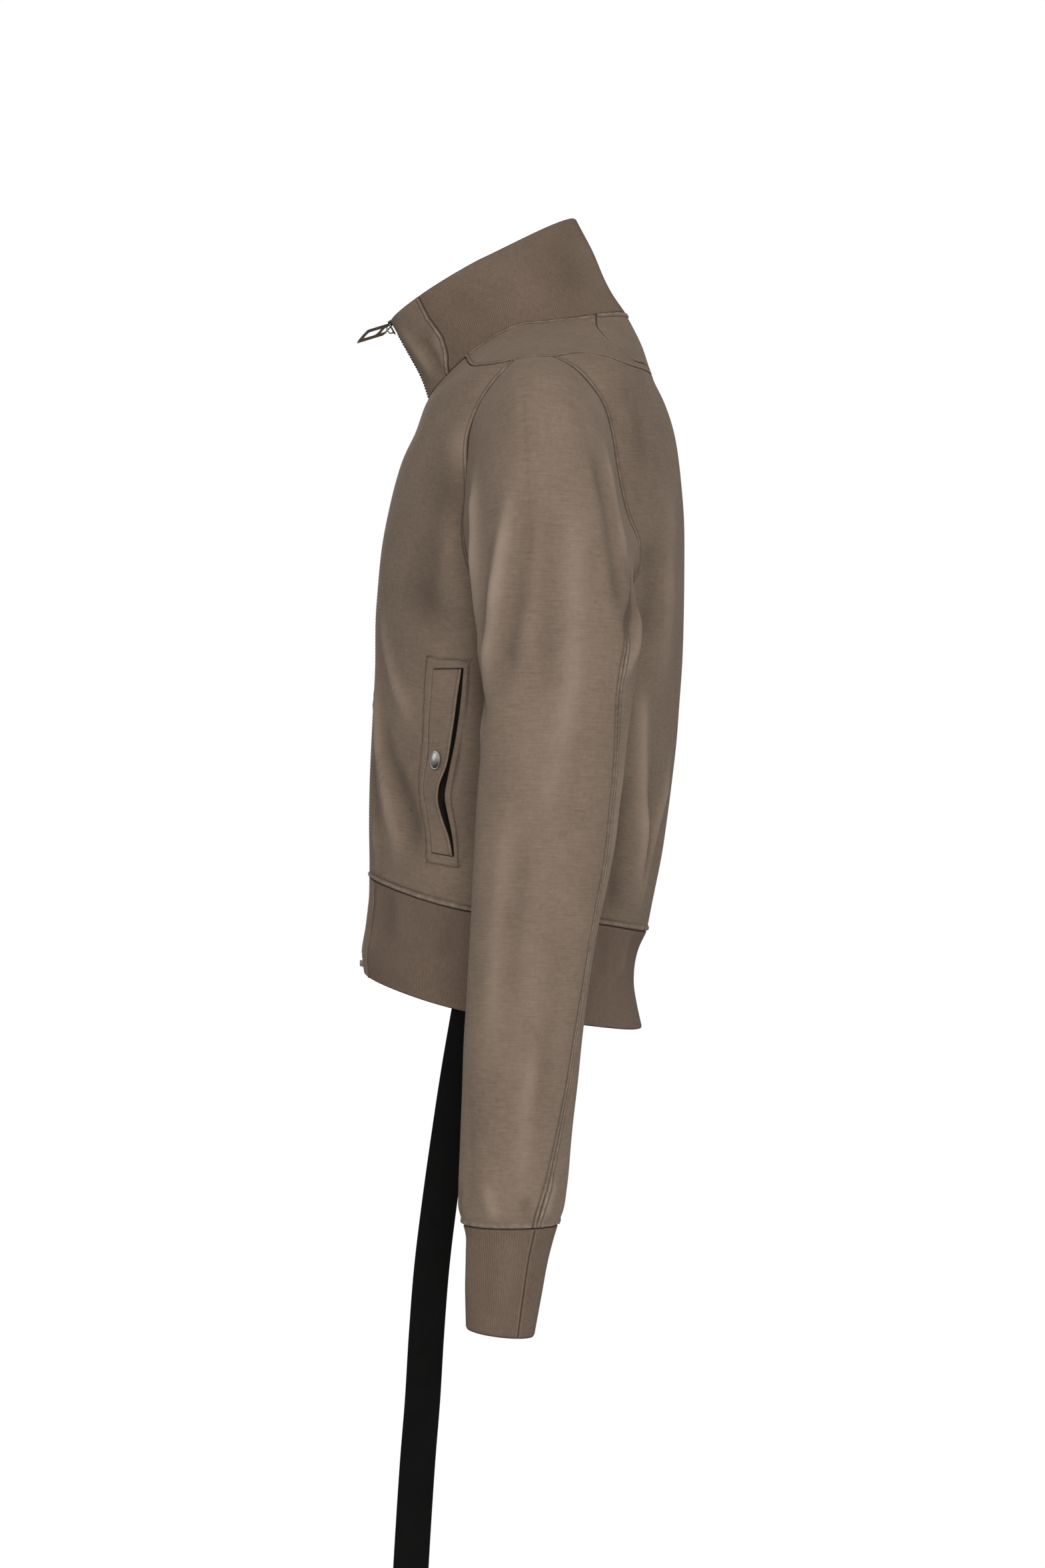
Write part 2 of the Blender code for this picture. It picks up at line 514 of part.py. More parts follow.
def build_zip(side, flip):
    """Zip tape behind the front edge; its chain half fills the space between the edges."""
    columns = [(0.25, 0.9), (3.3, 0.9), (3.5, None), (8.0, None), (14.0, None)]
    rows = centre_line()
    outer, inner = np.zeros((len(columns), len(rows), 3)), np.zeros((len(columns), len(rows), 3))
    for j, (form, up) in enumerate(rows):
        for i, (x, lift) in enumerate(columns):
            turn = edge_turn(form, up, x * MM)
            p, n = rings(form, turn, up), outward(form, turn, up)
            n = n * [0, 1, 1] / np.linalg.norm(n[1:])
            face = lift * MM if lift else -(RIB + 0.9 * MM)
            outer[i, j], inner[i, j] = p + face * n, p - (RIB + 1.9 * MM) * n
    shell("zip_tape_" + side, outer[:, ::-1], inner[:, ::-1], "tape", None, False, flip)


def block(name, corners, kind="metal"):
    """Box from eight corners, low face first."""
    faces = [(3, 2, 1, 0), (4, 5, 6, 7), (0, 1, 5, 4), (1, 2, 6, 5), (2, 3, 7, 6), (3, 0, 4, 7)]
    return make(name, corners, faces, kind)


def frame_box(name, at, down, out, x, d, o):
    """Box in the slider's own frame: x across, d down the zip, o out from the cloth, in millimetres."""
    across = np.array([1.0, 0, 0])
    corners = [at + MM * (a * across + b * down + c * out)
               for c in o for a, b in ((x[0], d[0]), (x[0], d[1]), (x[1], d[1]), (x[1], d[0]))]
    return block(name, corners)


def build_slider():
    """Slider at the collar's top: two plates joined by a post, with a bail that carries the pull."""
    top, low = rings(COLLAR, 0, 1.0), rings(COLLAR, 0, 0.8)
    down = (low - top) / np.linalg.norm(low - top)
    out = np.array([0, down[2], -down[1]])
    at = top
    body = frame_box("zip_slider", at, down, out, (-4.6, 4.6), (-1.0, 12.0), (1.3, 3.0))
    extras = [frame_box("plate", at, down, out, (-4.6, 4.6), (-1.0, 12.0), (-6.0, -4.7)),
              frame_box("post", at, down, out, (-3.2, 3.2), (-0.8, 1.4), (-5.4, 2.0)),
              frame_box("foot_a", at, down, out, (-1.0, 1.0), (1.7, 3.2), (2.5, 5.6)),
              frame_box("foot_b", at, down, out, (-1.0, 1.0), (8.0, 9.5), (2.5, 5.6)),
              frame_box("bail", at, down, out, (-1.1, 1.1), (1.5, 9.7), (5.2, 6.6))]
    for extra in extras:
        mod = body.modifiers.new(extra.name, "BOOLEAN")
        mod.operation, mod.solver, mod.object = "UNION", "EXACT", extra
        extra.hide_render = True
    bpy.context.view_layer.objects.active = body
    for mod in list(body.modifiers):
        bpy.ops.object.modifier_apply(modifier=mod.name)
    for extra in extras:
        bpy.data.objects.remove(extra, do_unlink=True)
    hinge = at + MM * (4.6 * down + 4.1 * out)
    return hinge


def build_pull(hinge):
    """Flat slotted bar that hangs on the bail by its end bar; it stands forward, a little down."""
    slope = math.radians(17)
    forward = np.array([0, -math.cos(slope), -math.sin(slope)])
    thick = np.cross([1.0, 0, 0], forward)
    xs = np.array([-3.0, -1.6, 1.6, 3.0])
    run_ = np.array([-0.5, 0.5, 5.6, 8.5, 20.5, 24.0])
    grid = hinge + MM * (xs[:, None, None] * np.array([1.0, 0, 0]) + run_[None, :, None] * forward)
    keep = np.ones((3, 5), bool)
    keep[1, 1], keep[1, 3] = False, False
    up = thick * (0.5 * MM)
    sign = np.sign(np.cross([1.0, 0, 0], forward) @ thick)
    shell("zip_pull", grid + sign * up, grid - sign * up, "metal", keep)


def build_box():
    """Retainer box at the foot of the zip."""
    foot, above = rings(BAND, 0, 0.16), rings(BAND, 0, 0.26)
    down = (foot - above) / np.linalg.norm(foot - above)
    out = np.array([0, down[2], -down[1]])
    frame_box("zip_box", foot, down, out, (-3.6, 3.6), (0.0, 7.0), (-3.2, 2.0))


def build_strap():
    """Flat tape: its top is held flat inside the hem band, then it hangs slanting forward."""
    outer, inner = [], []
    for up in (0.52, 0.36, 0.20, 0.07):
        p = rings(BAND, 90, up)
        y = STRAP[0][1] + 0.16 * (p[2] / MM - STRAP[0][0])
        turns = [turn_at(up, y + s) for s in (STRAP_HALF / MM, 0, -STRAP_HALF / MM)]
        pts = rings(BAND, turns, up)
        n = outward(BAND, turns, up)
        outer.append(pts - (RIB + 0.9 * MM) * n)
        inner.append(pts - (RIB + 0.9 * MM + STRAP_THICK) * n)
    for z, y, x in STRAP[1:]:
        pts = MM * np.array([(x, y + s, z) for s in (STRAP_HALF / MM, 0, -STRAP_HALF / MM)])
        outer.append(pts)
        inner.append(pts - [STRAP_THICK, 0, 0])
    outer, inner = np.array(outer).transpose(1, 0, 2), np.array(inner).transpose(1, 0, 2)
    shell("strap", outer, inner, "strap")


def turn_at(up, y):
    """Degrees round the band, in front of its widest point, at which it passes y."""
    turns = np.linspace(20, 120, 401)
    return float(np.interp(y, rings(BAND, turns, up)[:, 1] / MM, turns))


for ob in list(bpy.data.objects):
    bpy.data.objects.remove(ob, do_unlink=True)
build_back()
build_insert()
build_collar()
build_hem()
for side_name, mirrored in (("left", False), ("right", True)):
    build_front(side_name, mirrored)
    build_yoke(side_name, mirrored)
    build_sleeve(side_name, mirrored)
    build_pocket(side_name, mirrored)
    build_zip(side_name, mirrored)
build_pull(build_slider())
build_box()
build_strap()
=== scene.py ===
import math

import bpy
import mathutils
import numpy as np
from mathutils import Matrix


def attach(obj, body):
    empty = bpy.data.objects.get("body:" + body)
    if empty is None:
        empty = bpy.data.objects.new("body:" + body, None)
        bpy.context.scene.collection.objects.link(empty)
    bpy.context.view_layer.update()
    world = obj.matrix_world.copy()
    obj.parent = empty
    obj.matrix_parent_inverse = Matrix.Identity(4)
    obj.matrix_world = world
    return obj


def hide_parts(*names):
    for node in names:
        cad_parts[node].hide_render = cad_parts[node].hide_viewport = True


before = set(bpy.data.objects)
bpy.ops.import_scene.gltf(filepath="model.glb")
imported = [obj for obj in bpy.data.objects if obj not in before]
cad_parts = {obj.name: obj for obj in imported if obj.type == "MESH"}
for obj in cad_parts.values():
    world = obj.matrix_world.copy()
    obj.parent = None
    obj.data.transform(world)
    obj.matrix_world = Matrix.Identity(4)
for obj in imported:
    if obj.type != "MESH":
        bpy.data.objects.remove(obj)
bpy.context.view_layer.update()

# ---------------------------------------------------------------- front and back panels
# Two fronts and one back of heavy cotton jersey, garment dyed and washed. They are cut flat and
# joined at the sides; the jacket is filled out here as a body would fill it, so each panel lies
# on one form. Metres, front towards -Y, wearer's left +X, origin between the shoulders.
MM = 0.001
CLOTH = 1.6 * MM          # wall of the jersey
RIB = 2.4 * MM            # wall of the rib and of folded pieces
GAP = 0.15 * MM           # each cut edge stands back by this
FINE = 16                 # fine steps to one step of the pattern's grid
ZIP_EDGE = 4.0 * MM       # each front stops this far from the centre
# degrees round from the zip: the band's facing, the yoke's two ends at the neck, the side seam
HEM_FACING, NECK_FRONT, NECK_VEE, SIDE = 19.0, 51.6, 133.2, 95.0
# share up the body: the underarm, the tip of the back neck's vee, the pocket's foot and head
UNDERARM, TIP = 0.50, 0.875
POCKET_UP = (0.077, 0.394)
# the two halves: name, mirrored or not, strength of the creases, how far they lie off the left's
HALVES = (("left", False, 1.3, 0.0), ("right", True, 1.1, 0.05))
BACK_STRENGTH = 1.3

# share up, front y, widest y, back y, front z, side z, back z, half width, squareness, bend
TORSO = [
    (0.00, -126.5, -6, 102.8, -450.0, -478, -495, 152, 2.15, 1.6),
    (0.10, -127.0, -2, 115.0, -405.0, -423, -433, 155, 2.15, 1.6),
    (0.25, -125.5, 3, 126.0, -345.0, -350, -350, 161, 2.15, 1.6),
    (0.40, -122.0, 6, 132.0, -280.0, -280, -275, 168, 2.15, 1.6),
    (0.52, -120.8, 8, 133.8, -225.0, -228, -210, 174, 2.15, 1.6),
    (0.63, -113.5, 10, 133.0, -162.0, -175, -145, 180, 2.15, 1.6),
    (0.72, -100.5, 12, 127.0, -110.0, -120, -92, 186, 2.15, 1.6),
    (0.80, -88.5, 13, 118.0, -84.0, -68, -62, 190, 2.15, 1.5),
    (0.86, -82.5, 13, 108.5, -67.5, -42, -42, 184, 2.10, 1.5),
    (0.93, -79.5, 10, 98.8, -59.5, -20, -12, 130, 2.05, 1.5),
    (1.00, -77.4, 4, 85.6, -54.1, 0, 16, 75, 2.00, 1.5),
]
BAND = [
    (0.00, -131.0, -15, 98.9, -530.0, -558, -574.5, 150, 2.15, 1.3),
    (0.20, -133.0, -13, 95.0, -515.0, -542, -556, 149, 2.15, 1.4),
    (0.50, -129.5, -12, 92.4, -490.0, -518, -534, 149, 2.15, 1.5),
    (0.85, -126.6, -8, 97.0, -462.0, -490, -507, 151, 2.15, 1.6),
    (1.00, -126.5, -6, 102.8, -450.0, -478, -495, 152, 2.15, 1.6),
]
# seam lines: degrees round from the zip, share up
ARM_FRONT = [(95, 0.500), (84, 0.508), (75, 0.535), (68, 0.580), (64.4, 0.630), (63.2, 0.679),
             (62.4, 0.714), (61.8, 0.756), (64.4, 0.792), (69.2, 0.821), (79.3, 0.868)]
ARM_TOP = [(79.3, 0.868), (84.7, 0.869), (90.1, 0.869), (96.1, 0.868)]
ARM_BACK = [(96.1, 0.868), (104.1, 0.846), (111.6, 0.810), (116.3, 0.781), (119.3, 0.742),
            (120.8, 0.698), (125.5, 0.626), (130.0, 0.590), (130.5, 0.560), (124, 0.525),
            (110, 0.505), (95, 0.500)]
YOKE_FRONT = [(51.6, 1.000), (55.3, 0.924), (61.7, 0.888), (70.5, 0.871), (79.3, 0.868)]
YOKE_BACK = [(96.1, 0.868), (110.5, 0.882), (123.6, 0.879), (136.7, 0.869), (156, 0.867),
             (180, TIP - 0.004)]
VEE = [(133.2, 1.000), (128.4, 0.960), (131.7, 0.924), (140, 0.892), (158, 0.883), (180, TIP + 0.004)]
WINDOW_FRONT = [(54.8, 0.394), (54.2, 0.300), (54.4, 0.247), (53.0, 0.200), (52.8, 0.180),
                (54.3, 0.154), (56.5, 0.115), (57.8, 0.077)]
WINDOW_REAR = [(67.1, 0.394), (66.4, 0.330), (65.2, 0.274), (63.0, 0.210), (62.0, 0.170),
               (63.6, 0.140), (65.4, 0.110), (66.8, 0.077)]
POCKET_STITCH = [(69.6, 0.407), (51.5, 0.417), (51.0, 0.392), (51.2, 0.259), (50.2, 0.198),
                 (50.8, 0.160), (53.6, 0.110), (55.3, 0.060), (68.8, 0.062)]
POCKET_REAR_STITCH = [(69.4, 0.400), (68.8, 0.330), (67.6, 0.274), (65.6, 0.210), (64.8, 0.170),
                      (66.2, 0.140), (67.6, 0.110), (68.8, 0.066)]

# creases of the body: height and half width in mm, then the line in degrees and share up. A trough
# has a height below 0. The last four are fine worn ridges on top of broader ones.
BODY_FOLDS = [
    (2.6, 10, [(14, 0.42), (18, 0.33), (22, 0.265), (27, 0.205), (31, 0.16), (34, 0.125), (38, 0.09),
               (42, 0.03)]),
    (1.7, 9, [(19, 0.52), (24, 0.45), (30, 0.40), (36, 0.358), (41, 0.33), (45, 0.30), (49, 0.28)]),
    (1.5, 6, [(18, 0.11), (20, 0.075), (22, 0.045), (24, 0.01)]),
    (-3.9, 12, [(24, 0.31), (30, 0.24), (38, 0.19), (44, 0.145), (48, 0.10), (50, 0.04)]),
    (-2.0, 9, [(13, 0.24), (17, 0.17), (20, 0.13), (25, 0.08)]),
    (-4.2, 34, [(58, 0.73), (54, 0.63), (49, 0.53), (44, 0.45)]),
    (2.2, 17, [(60, 0.80), (57, 0.72), (57, 0.62), (60, 0.53), (66, 0.47)]),
    (-2.4, 13, [(74, 0.50), (75, 0.42), (75, 0.30), (73, 0.18), (72, 0.05)]),
    (1.6, 12, [(84, 0.44), (83, 0.30), (81, 0.15), (80, 0.02)]),
    (2.8, 10, [(134, 0.38), (136, 0.28), (139, 0.205), (146, 0.105), (150, 0.02)]),
    (1.9, 8, [(163, 0.27), (159, 0.19), (154, 0.14), (153, 0.095), (152, 0.02)]),
    (-4.2, 12, [(124, 0.24), (129, 0.13), (133, 0.06), (136, 0.0)]),
    (-1.9, 9, [(147, 0.25), (147, 0.18), (150, 0.12), (150, 0.04)]),
    (-2.6, 12, [(118, 0.36), (119, 0.26), (120, 0.14), (120, 0.03)]),
    (2.2, 11, [(109, 0.42), (109, 0.30), (110, 0.16), (110, 0.02)]),
    (-3.2, 18, [(136, 0.60), (138, 0.52), (137, 0.42)]),
    (1.6, 14, [(152, 0.68), (151, 0.56), (149, 0.44), (148, 0.34)]),
    (-1.6, 12, [(128, 0.83), (134, 0.76), (137, 0.68)]),
    (1.0, 3.8, [(14, 0.42), (18, 0.33), (22, 0.265), (27, 0.205), (31, 0.16), (34, 0.125), (38, 0.09)]),
    (0.9, 3.8, [(19, 0.52), (24, 0.45), (30, 0.40), (36, 0.358), (41, 0.33), (45, 0.30)]),
    (1.0, 3.8, [(134, 0.38), (136, 0.28), (139, 0.205), (146, 0.105), (150, 0.02)]),
    (0.8, 3.8, [(163, 0.27), (159, 0.19), (154, 0.14), (153, 0.095), (152, 0.02)]),
]
# creases that the hem band takes on from the body above it
BAND_FOLDS = [
    (1.9, 8, [(24, 1.0), (25, 0.72), (24, 0.45), (21, 0.22)]),
    (1.5, 9, [(42, 1.0), (44, 0.75), (45, 0.52)]),
    (-1.6, 9, [(33, 1.0), (34, 0.72), (34, 0.45)]),
    (-1.4, 11, [(66, 1.0), (66, 0.7), (64, 0.42)]),
    (2.0, 9, [(148, 1.0), (150, 0.75), (151, 0.5)]),
    (-1.6, 9, [(133, 1.0), (135, 0.7), (136, 0.45)]),
    (1.4, 9, [(110, 1.0), (111, 0.72), (111, 0.5)]),
]


def smooth(knots, table, x):
    """Cubic through the rows of a table, at each x, with slopes from the neighbouring rows."""
    knots, table = np.asarray(knots, float), np.asarray(table, float)
    x = np.clip(np.asarray(x, float), knots[0], knots[-1])
    step = np.diff(knots)[:, None]
    rate = np.diff(table, axis=0) / step
    slope = np.empty_like(table)
    slope[0], slope[-1] = rate[0], rate[-1]
    slope[1:-1] = (rate[:-1] * step[1:] + rate[1:] * step[:-1]) / (step[1:] + step[:-1])
    i = np.clip(np.searchsorted(knots, x, side="right") - 1, 0, len(knots) - 2)
    w = (knots[i + 1] - knots[i])[..., None]
    t = (x - knots[i])[..., None] / w
    return ((2 * t**3 - 3 * t**2 + 1) * table[i] + (t**3 - 2 * t**2 + t) * w * slope[i]
            + (3 * t**2 - 2 * t**3) * table[i + 1] + (t**3 - t**2) * w * slope[i + 1])


def rings(table, turn, up):
    """The form: half width times sin, depth times cos, each to a power near 1, at a height bent by cos."""
    turn, up = np.broadcast_arrays(np.asarray(turn, float), np.asarray(up, float))
    rows = np.array(table, float)
    yf, ys, yb, zf, zs, zb, wide, square, bend = np.moveaxis(smooth(rows[:, 0], rows[:, 1:], up), -1, 0)
    c, s = np.cos(np.radians(turn)), np.sin(np.radians(turn))
    front = c > 0
    return MM * np.stack([
        wide * np.sign(s) * np.abs(s) ** (2 / square),
        ys + (np.where(front, yf, yb) - ys) * np.abs(c) ** (2 / square),
        zs + (np.where(front, zf, zb) - zs) * np.abs(c) ** bend], -1)


def outward(table, turn, up):
    """Unit normal of the form, from small steps round and up it."""
    lo, hi = np.maximum(np.asarray(up) - 1e-3, 0), np.minimum(np.asarray(up) + 1e-3, 1)
    side = rings(table, np.asarray(turn) + 0.2, up) - rings(table, np.asarray(turn) - 0.2, up)
    n = np.cross(side, rings(table, turn, hi) - rings(table, turn, lo))
    return n / np.linalg.norm(n, axis=-1, keepdims=True)


def edge_turn(table, up, x=ZIP_EDGE):
    """Degrees round at which the form is x away from the centre plane at the front."""
    rows = np.array(table, float)
    wide, square = np.moveaxis(smooth(rows[:, 0], rows[:, 7:9], up), -1, 0)
    return np.degrees(np.arcsin((x / MM / wide) ** (square / 2)))


def walk(points, count, table=TORSO):
    """count equal steps along a smooth line through points (degrees, share), measured on the form."""
    points = np.array(points, float)
    knots = np.r_[0, np.cumsum(np.linalg.norm(np.diff(rings(table, *points.T), axis=0), axis=1))]
    fine = smooth(knots, points, np.linspace(0, knots[-1], 400))
    run = np.r_[0, np.cumsum(np.linalg.norm(np.diff(rings(table, *fine.T), axis=0), axis=1))]
    at = np.linspace(0, run[-1], count + 1)
    return np.stack([np.interp(at, run, fine[:, 0]), np.interp(at, run, fine[:, 1])], -1)


def join(*lines):
    """Lines end to end; each starts on the last point of the one before, which is kept once."""
    return np.concatenate([lines[0]] + [line[1:] for line in lines[1:]])


def level(start, end, count, up):
    """A line round the form at one height: even steps in degrees, the share up constant."""
    return np.stack([np.linspace(start, end, count * FINE + 1), np.full(count * FINE + 1, up)], -1)


def mirror(line):
    """The line on the other half of the body, run backwards: 360 less its degrees."""
    out = line[::-1].copy()
    out[:, 0] = 360 - out[:, 0]
    return out


def patch(bottom, right, top, left):
    """Coons patch in (degrees, share): blend of opposite sides, less the blend of the corners."""
    u = np.linspace(0, 1, len(bottom))[:, None, None]
    t = np.linspace(0, 1, len(left))[None, :, None]
    return ((1 - t) * bottom[:, None] + t * top[:, None] + (1 - u) * left[None] + u * right[None]
            - (1 - u) * (1 - t) * bottom[0] - u * (1 - t) * bottom[-1]
            - (1 - u) * t * top[0] - u * t * top[-1])


def chosen(cells, lines, stride, reach=7):
    """Indices out of cells * FINE: each one near the lines (given in cells), every stride-th elsewhere."""
    index = np.arange(cells * FINE + 1)
    near_line = np.abs(index[:, None] - np.array(lines)[None] * FINE).min(1) <= reach
    return index[near_line | (index % stride == 0)]


def near(points, line):
    """Distance of each point from a line of close samples, and the run along the line there, in mm."""
    flat = points.reshape(-1, 3)
    run = np.r_[0, np.cumsum(np.linalg.norm(np.diff(line, axis=0), axis=1))]
    way = np.gradient(line, axis=0)
    way[2:-2] = line[4:] - line[:-4]
    way /= np.maximum(np.linalg.norm(way, axis=1, keepdims=True), 1e-12)
    k = np.concatenate([(np.sum(line**2, 1) - 2 * part @ line.T).argmin(1)
                        for part in np.array_split(flat, len(flat) * len(line) // 3000000 + 1)])
    gap, spacing = flat - line[k], np.gradient(run)[k]
    run_on = np.clip(np.sum(gap * way[k], 1), -spacing, spacing)
    dist = np.linalg.norm(gap - run_on[:, None] * way[k], axis=1)
    return dist.reshape(points.shape[:-1]) / MM, (run[k] + run_on).reshape(points.shape[:-1]) / MM


def creases(points, folds, place, strength=1.0):
    """Sum of height * exp(-(distance / half width)^2), each one fading in and out along its line."""
    lift = np.zeros(points.shape[:-1])
    for height, half, way in folds:
        line = place(way)
        dist, run = near(points, line)
        long = np.sum(np.linalg.norm(np.diff(line, axis=0), axis=1)) / MM
        fade = np.sin(0.5 * np.pi * np.clip(np.minimum(run, long - run) / (0.32 * long) + 0.12, 0, 1)) ** 2
        uneven = 1 + 0.16 * np.sin(run / 17 + height * 9) + 0.08 * np.sin(run / 7.3 + half)
        lift += strength * height * fade * uneven * np.exp(-(dist / (half * (1.12 - 0.2 * fade))) ** 2)
    return lift


# kinds of seam: groove depth, band height, band width, depth of the stitched line, all in mm; pucker
SEAM_KINDS = {
    "plain": (0.80, 0.30, 1.6, 0.0, 0.5),
    "felled": (0.85, 1.00, 4.6, 0.60, 1.0),
    "neck": (0.85, 1.05, 4.8, 0.80, 0.35),
    "twin": (0.95, 0.50, 3.1, 0.75, 0.3),
    "pressed": (0.75, 0.60, 3.6, 0.50, 1.1),
    "edge": (0.85, 0.15, 1.4, 0.0, 0.3),
    "fold": (0.60, 0.35, 2.2, 0.0, 0.5),
    "stitched": (0.0, 0.0, 0.0, 0.55, 0.0),
}


def pressed_seam(points, line, kind):
    """Lift in mm, and how worn and how sunk the cloth is, by the distance from one seam line: a narrow
    bell of groove on the line, a flat band beside it with ripples along it, a bell where it is stitched.
    The finishes darken the sunk cloth, in the groove and the stitched line, as painted shade."""
    groove, tall, wide, line_deep, pucker = SEAM_KINDS[kind]
    dist, run = near(points, line)
    ripple = 0.30 * np.sin(run * 0.55) + 0.22 * np.sin(run * 1.03 + 1.3) + 0.12 * np.sin(run * 0.21)
    crinkle = 1 + pucker * ripple
    band = np.clip((dist - 0.3) / 1.1, 0, 1) * np.clip((wide + 0.4 - dist) / 1.1, 0, 1)
    band = band * band * (3 - 2 * band)
    sunk = np.exp(-(dist / 0.75) ** 2)
    stitch = np.exp(-((dist - wide) / 0.75) ** 2) * (line_deep > 0)
    lift = tall * crinkle * band - groove * sunk - line_deep * stitch
    return lift, band * (0.45 + 0.35 * crinkle) * (tall > 0), np.maximum(sunk * (groove > 0), 0.8 * stitch)


def weather(points, seams, fold_lift):
    """Everything that moves or tints the cloth: its creases, its seams, and a faint unevenness that is a
    product of slow sines in x, y and z."""
    lift, worn, sunk = fold_lift.copy(), np.zeros(points.shape[:-1]), np.zeros(points.shape[:-1])
    for line, kind in seams:
        add, w, s = pressed_seam(points, line, kind)
        lift, worn, sunk = lift + add, np.maximum(worn, w), np.maximum(sunk, s)
    x, y, z = np.moveaxis(points, -1, 0) / MM
    uneven = 0.22 * np.sin(x / 19 + 1.7 * np.sin(z / 33)) * np.sin(z / 23 + y / 27)
    lift += uneven + 0.13 * np.sin(y / 11 + z / 15)
    return lift, worn, sunk


def grid_normals(points, ring=False):
    """Unit normals of a grid from central differences both ways."""
    across = (np.roll(points, -1, 0) - np.roll(points, 1, 0)) if ring else np.gradient(points, axis=0)
    n = np.cross(across, np.gradient(points, axis=1))
    return n / np.maximum(np.linalg.norm(n, axis=-1, keepdims=True), 1e-12)


def cut(name, outer, inner, finish, keep=None, ring=False, flip=False,
        worn=None, sunk=None, fold=None, uv=None, gap=GAP):
    """Closed thin shell between two grids. Each edge of the cloth stands back by gap in its own plane:
    an edge vertex moves by the sum of its edges' inward unit vectors, scaled to keep that distance."""
    nu, nv = outer.shape[:2]
    number = np.arange(nu * nv).reshape(nu, nv)
    if uv is None:
        uv = np.zeros((nu + ring, nv, 2))
    corner = np.arange((nu + ring) * nv).reshape(nu + ring, nv)
    if ring:
        number = np.vstack([number, number[:1]])
    quads, corners = (np.stack([a[:-1, :-1], a[1:, :-1], a[1:, 1:], a[:-1, 1:]], -1)
                      for a in (number, corner))
    pick = np.ones(quads.shape[:2], bool) if keep is None else keep
    quads, corners = quads[pick], corners[pick]
    outer, inner, n = outer.reshape(-1, 3).copy(), inner.reshape(-1, 3).copy(), nu * nv
    edges = np.stack([quads, np.roll(quads, -1, 1)], -1).reshape(-1, 2)
    owner = np.repeat(np.arange(len(quads)), 4)
    free = ~np.isin(edges[:, 0] * n + edges[:, 1], edges[:, 1] * n + edges[:, 0])
    edges, owner = edges[free], owner[free]
    q = outer[quads[owner]]
    push = np.cross(np.cross(q[:, 2] - q[:, 0], q[:, 3] - q[:, 1]), outer[edges[:, 1]] - outer[edges[:, 0]])
    push /= np.maximum(np.linalg.norm(push, axis=1, keepdims=True), 1e-15)
    total = np.zeros_like(outer)
    np.add.at(total, edges.ravel(), np.repeat(push, 2, 0))
    move = gap * 2 * total / np.maximum(np.sum(total**2, 1, keepdims=True), 0.7)
    outer, inner = outer + move, inner + move
    faces = np.concatenate([quads, quads[:, ::-1] + n,
                            np.stack([edges[:, 1], edges[:, 0], edges[:, 0] + n, edges[:, 1] + n], -1)])
    flat_uv = uv.reshape(-1, 2)
    side_uv = flat_uv[corners.reshape(-1)][np.flatnonzero(free)]
    face_uv = np.concatenate([flat_uv[corners].reshape(-1, 2), flat_uv[corners[:, ::-1]].reshape(-1, 2),
                              np.repeat(side_uv, 4, 0)])
    verts = np.concatenate([outer, inner])
    layers = [np.concatenate([np.zeros(n) if a is None else a.ravel()] * 2) for a in (worn, sunk, fold)]
    used, place = np.unique(faces, return_inverse=True)
    faces, verts = place.reshape(-1, 4), verts[used]
    if flip:
        verts = verts * [-1, 1, 1]
        faces, face_uv = faces[:, ::-1], face_uv.reshape(-1, 4, 2)[:, ::-1].reshape(-1, 2)
    mesh = bpy.data.meshes.new(name)
    mesh.vertices.add(len(verts))
    mesh.vertices.foreach_set("co", verts.ravel())
    mesh.loops.add(faces.size)
    mesh.loops.foreach_set("vertex_index", faces.ravel())
    mesh.polygons.add(len(faces))
    mesh.polygons.foreach_set("loop_start", np.arange(0, faces.size, 4))
    mesh.polygons.foreach_set("use_smooth", np.ones(len(faces), bool))
    mesh.update(calc_edges=True)
    mesh.uv_layers.new(name="cloth").data.foreach_set("uv", face_uv.ravel())
    for label, layer in zip(("worn", "sunk", "fold"), layers):
        mesh.attributes.new(label, "FLOAT", "POINT").data.foreach_set("value", layer[used])
    mesh.set_sharp_from_angle(angle=math.radians(58))
    ob = bpy.data.objects.new(name, mesh)
    bpy.context.collection.objects.link(ob)
    mesh.materials.append(finish)
    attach(ob, "jacket")
    return ob


def declare(solid):
    """A cloth piece replaces its plain solid, which is hidden."""
    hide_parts(solid)


class Flow:
    """A socket's value; arithmetic on it adds Math nodes to its material."""

    def __init__(self, tree, socket):
        self.tree, self.socket = tree, socket

    def math(self, operation, *values):
        """One Math node on the values; each is a number or another Flow."""
        node = self.tree.nodes.new("ShaderNodeMath")
        node.operation = operation
        for slot, value in zip(node.inputs, values):
            feed(self.tree, slot, value)
        return Flow(self.tree, node.outputs[0])

    def __add__(self, other):
        return self.math("ADD", self, other)

    def __mul__(self, other):
        return self.math("MULTIPLY", self, other)

    def __sub__(self, other):
        return self.math("SUBTRACT", self, other)

    def __rsub__(self, other):
        return self.math("SUBTRACT", other, self)

    __radd__, __rmul__ = __add__, __mul__

    def clamp(self):
        """The value held between 0 and 1."""
        return self.math("MAXIMUM", self.math("MINIMUM", self, 1.0), 0.0)


def feed(tree, slot, value):
    """Link a Flow to a socket, or set the socket to a constant."""
    if isinstance(value, Flow):
        tree.links.new(value.socket, slot)
    else:
        slot.default_value = value


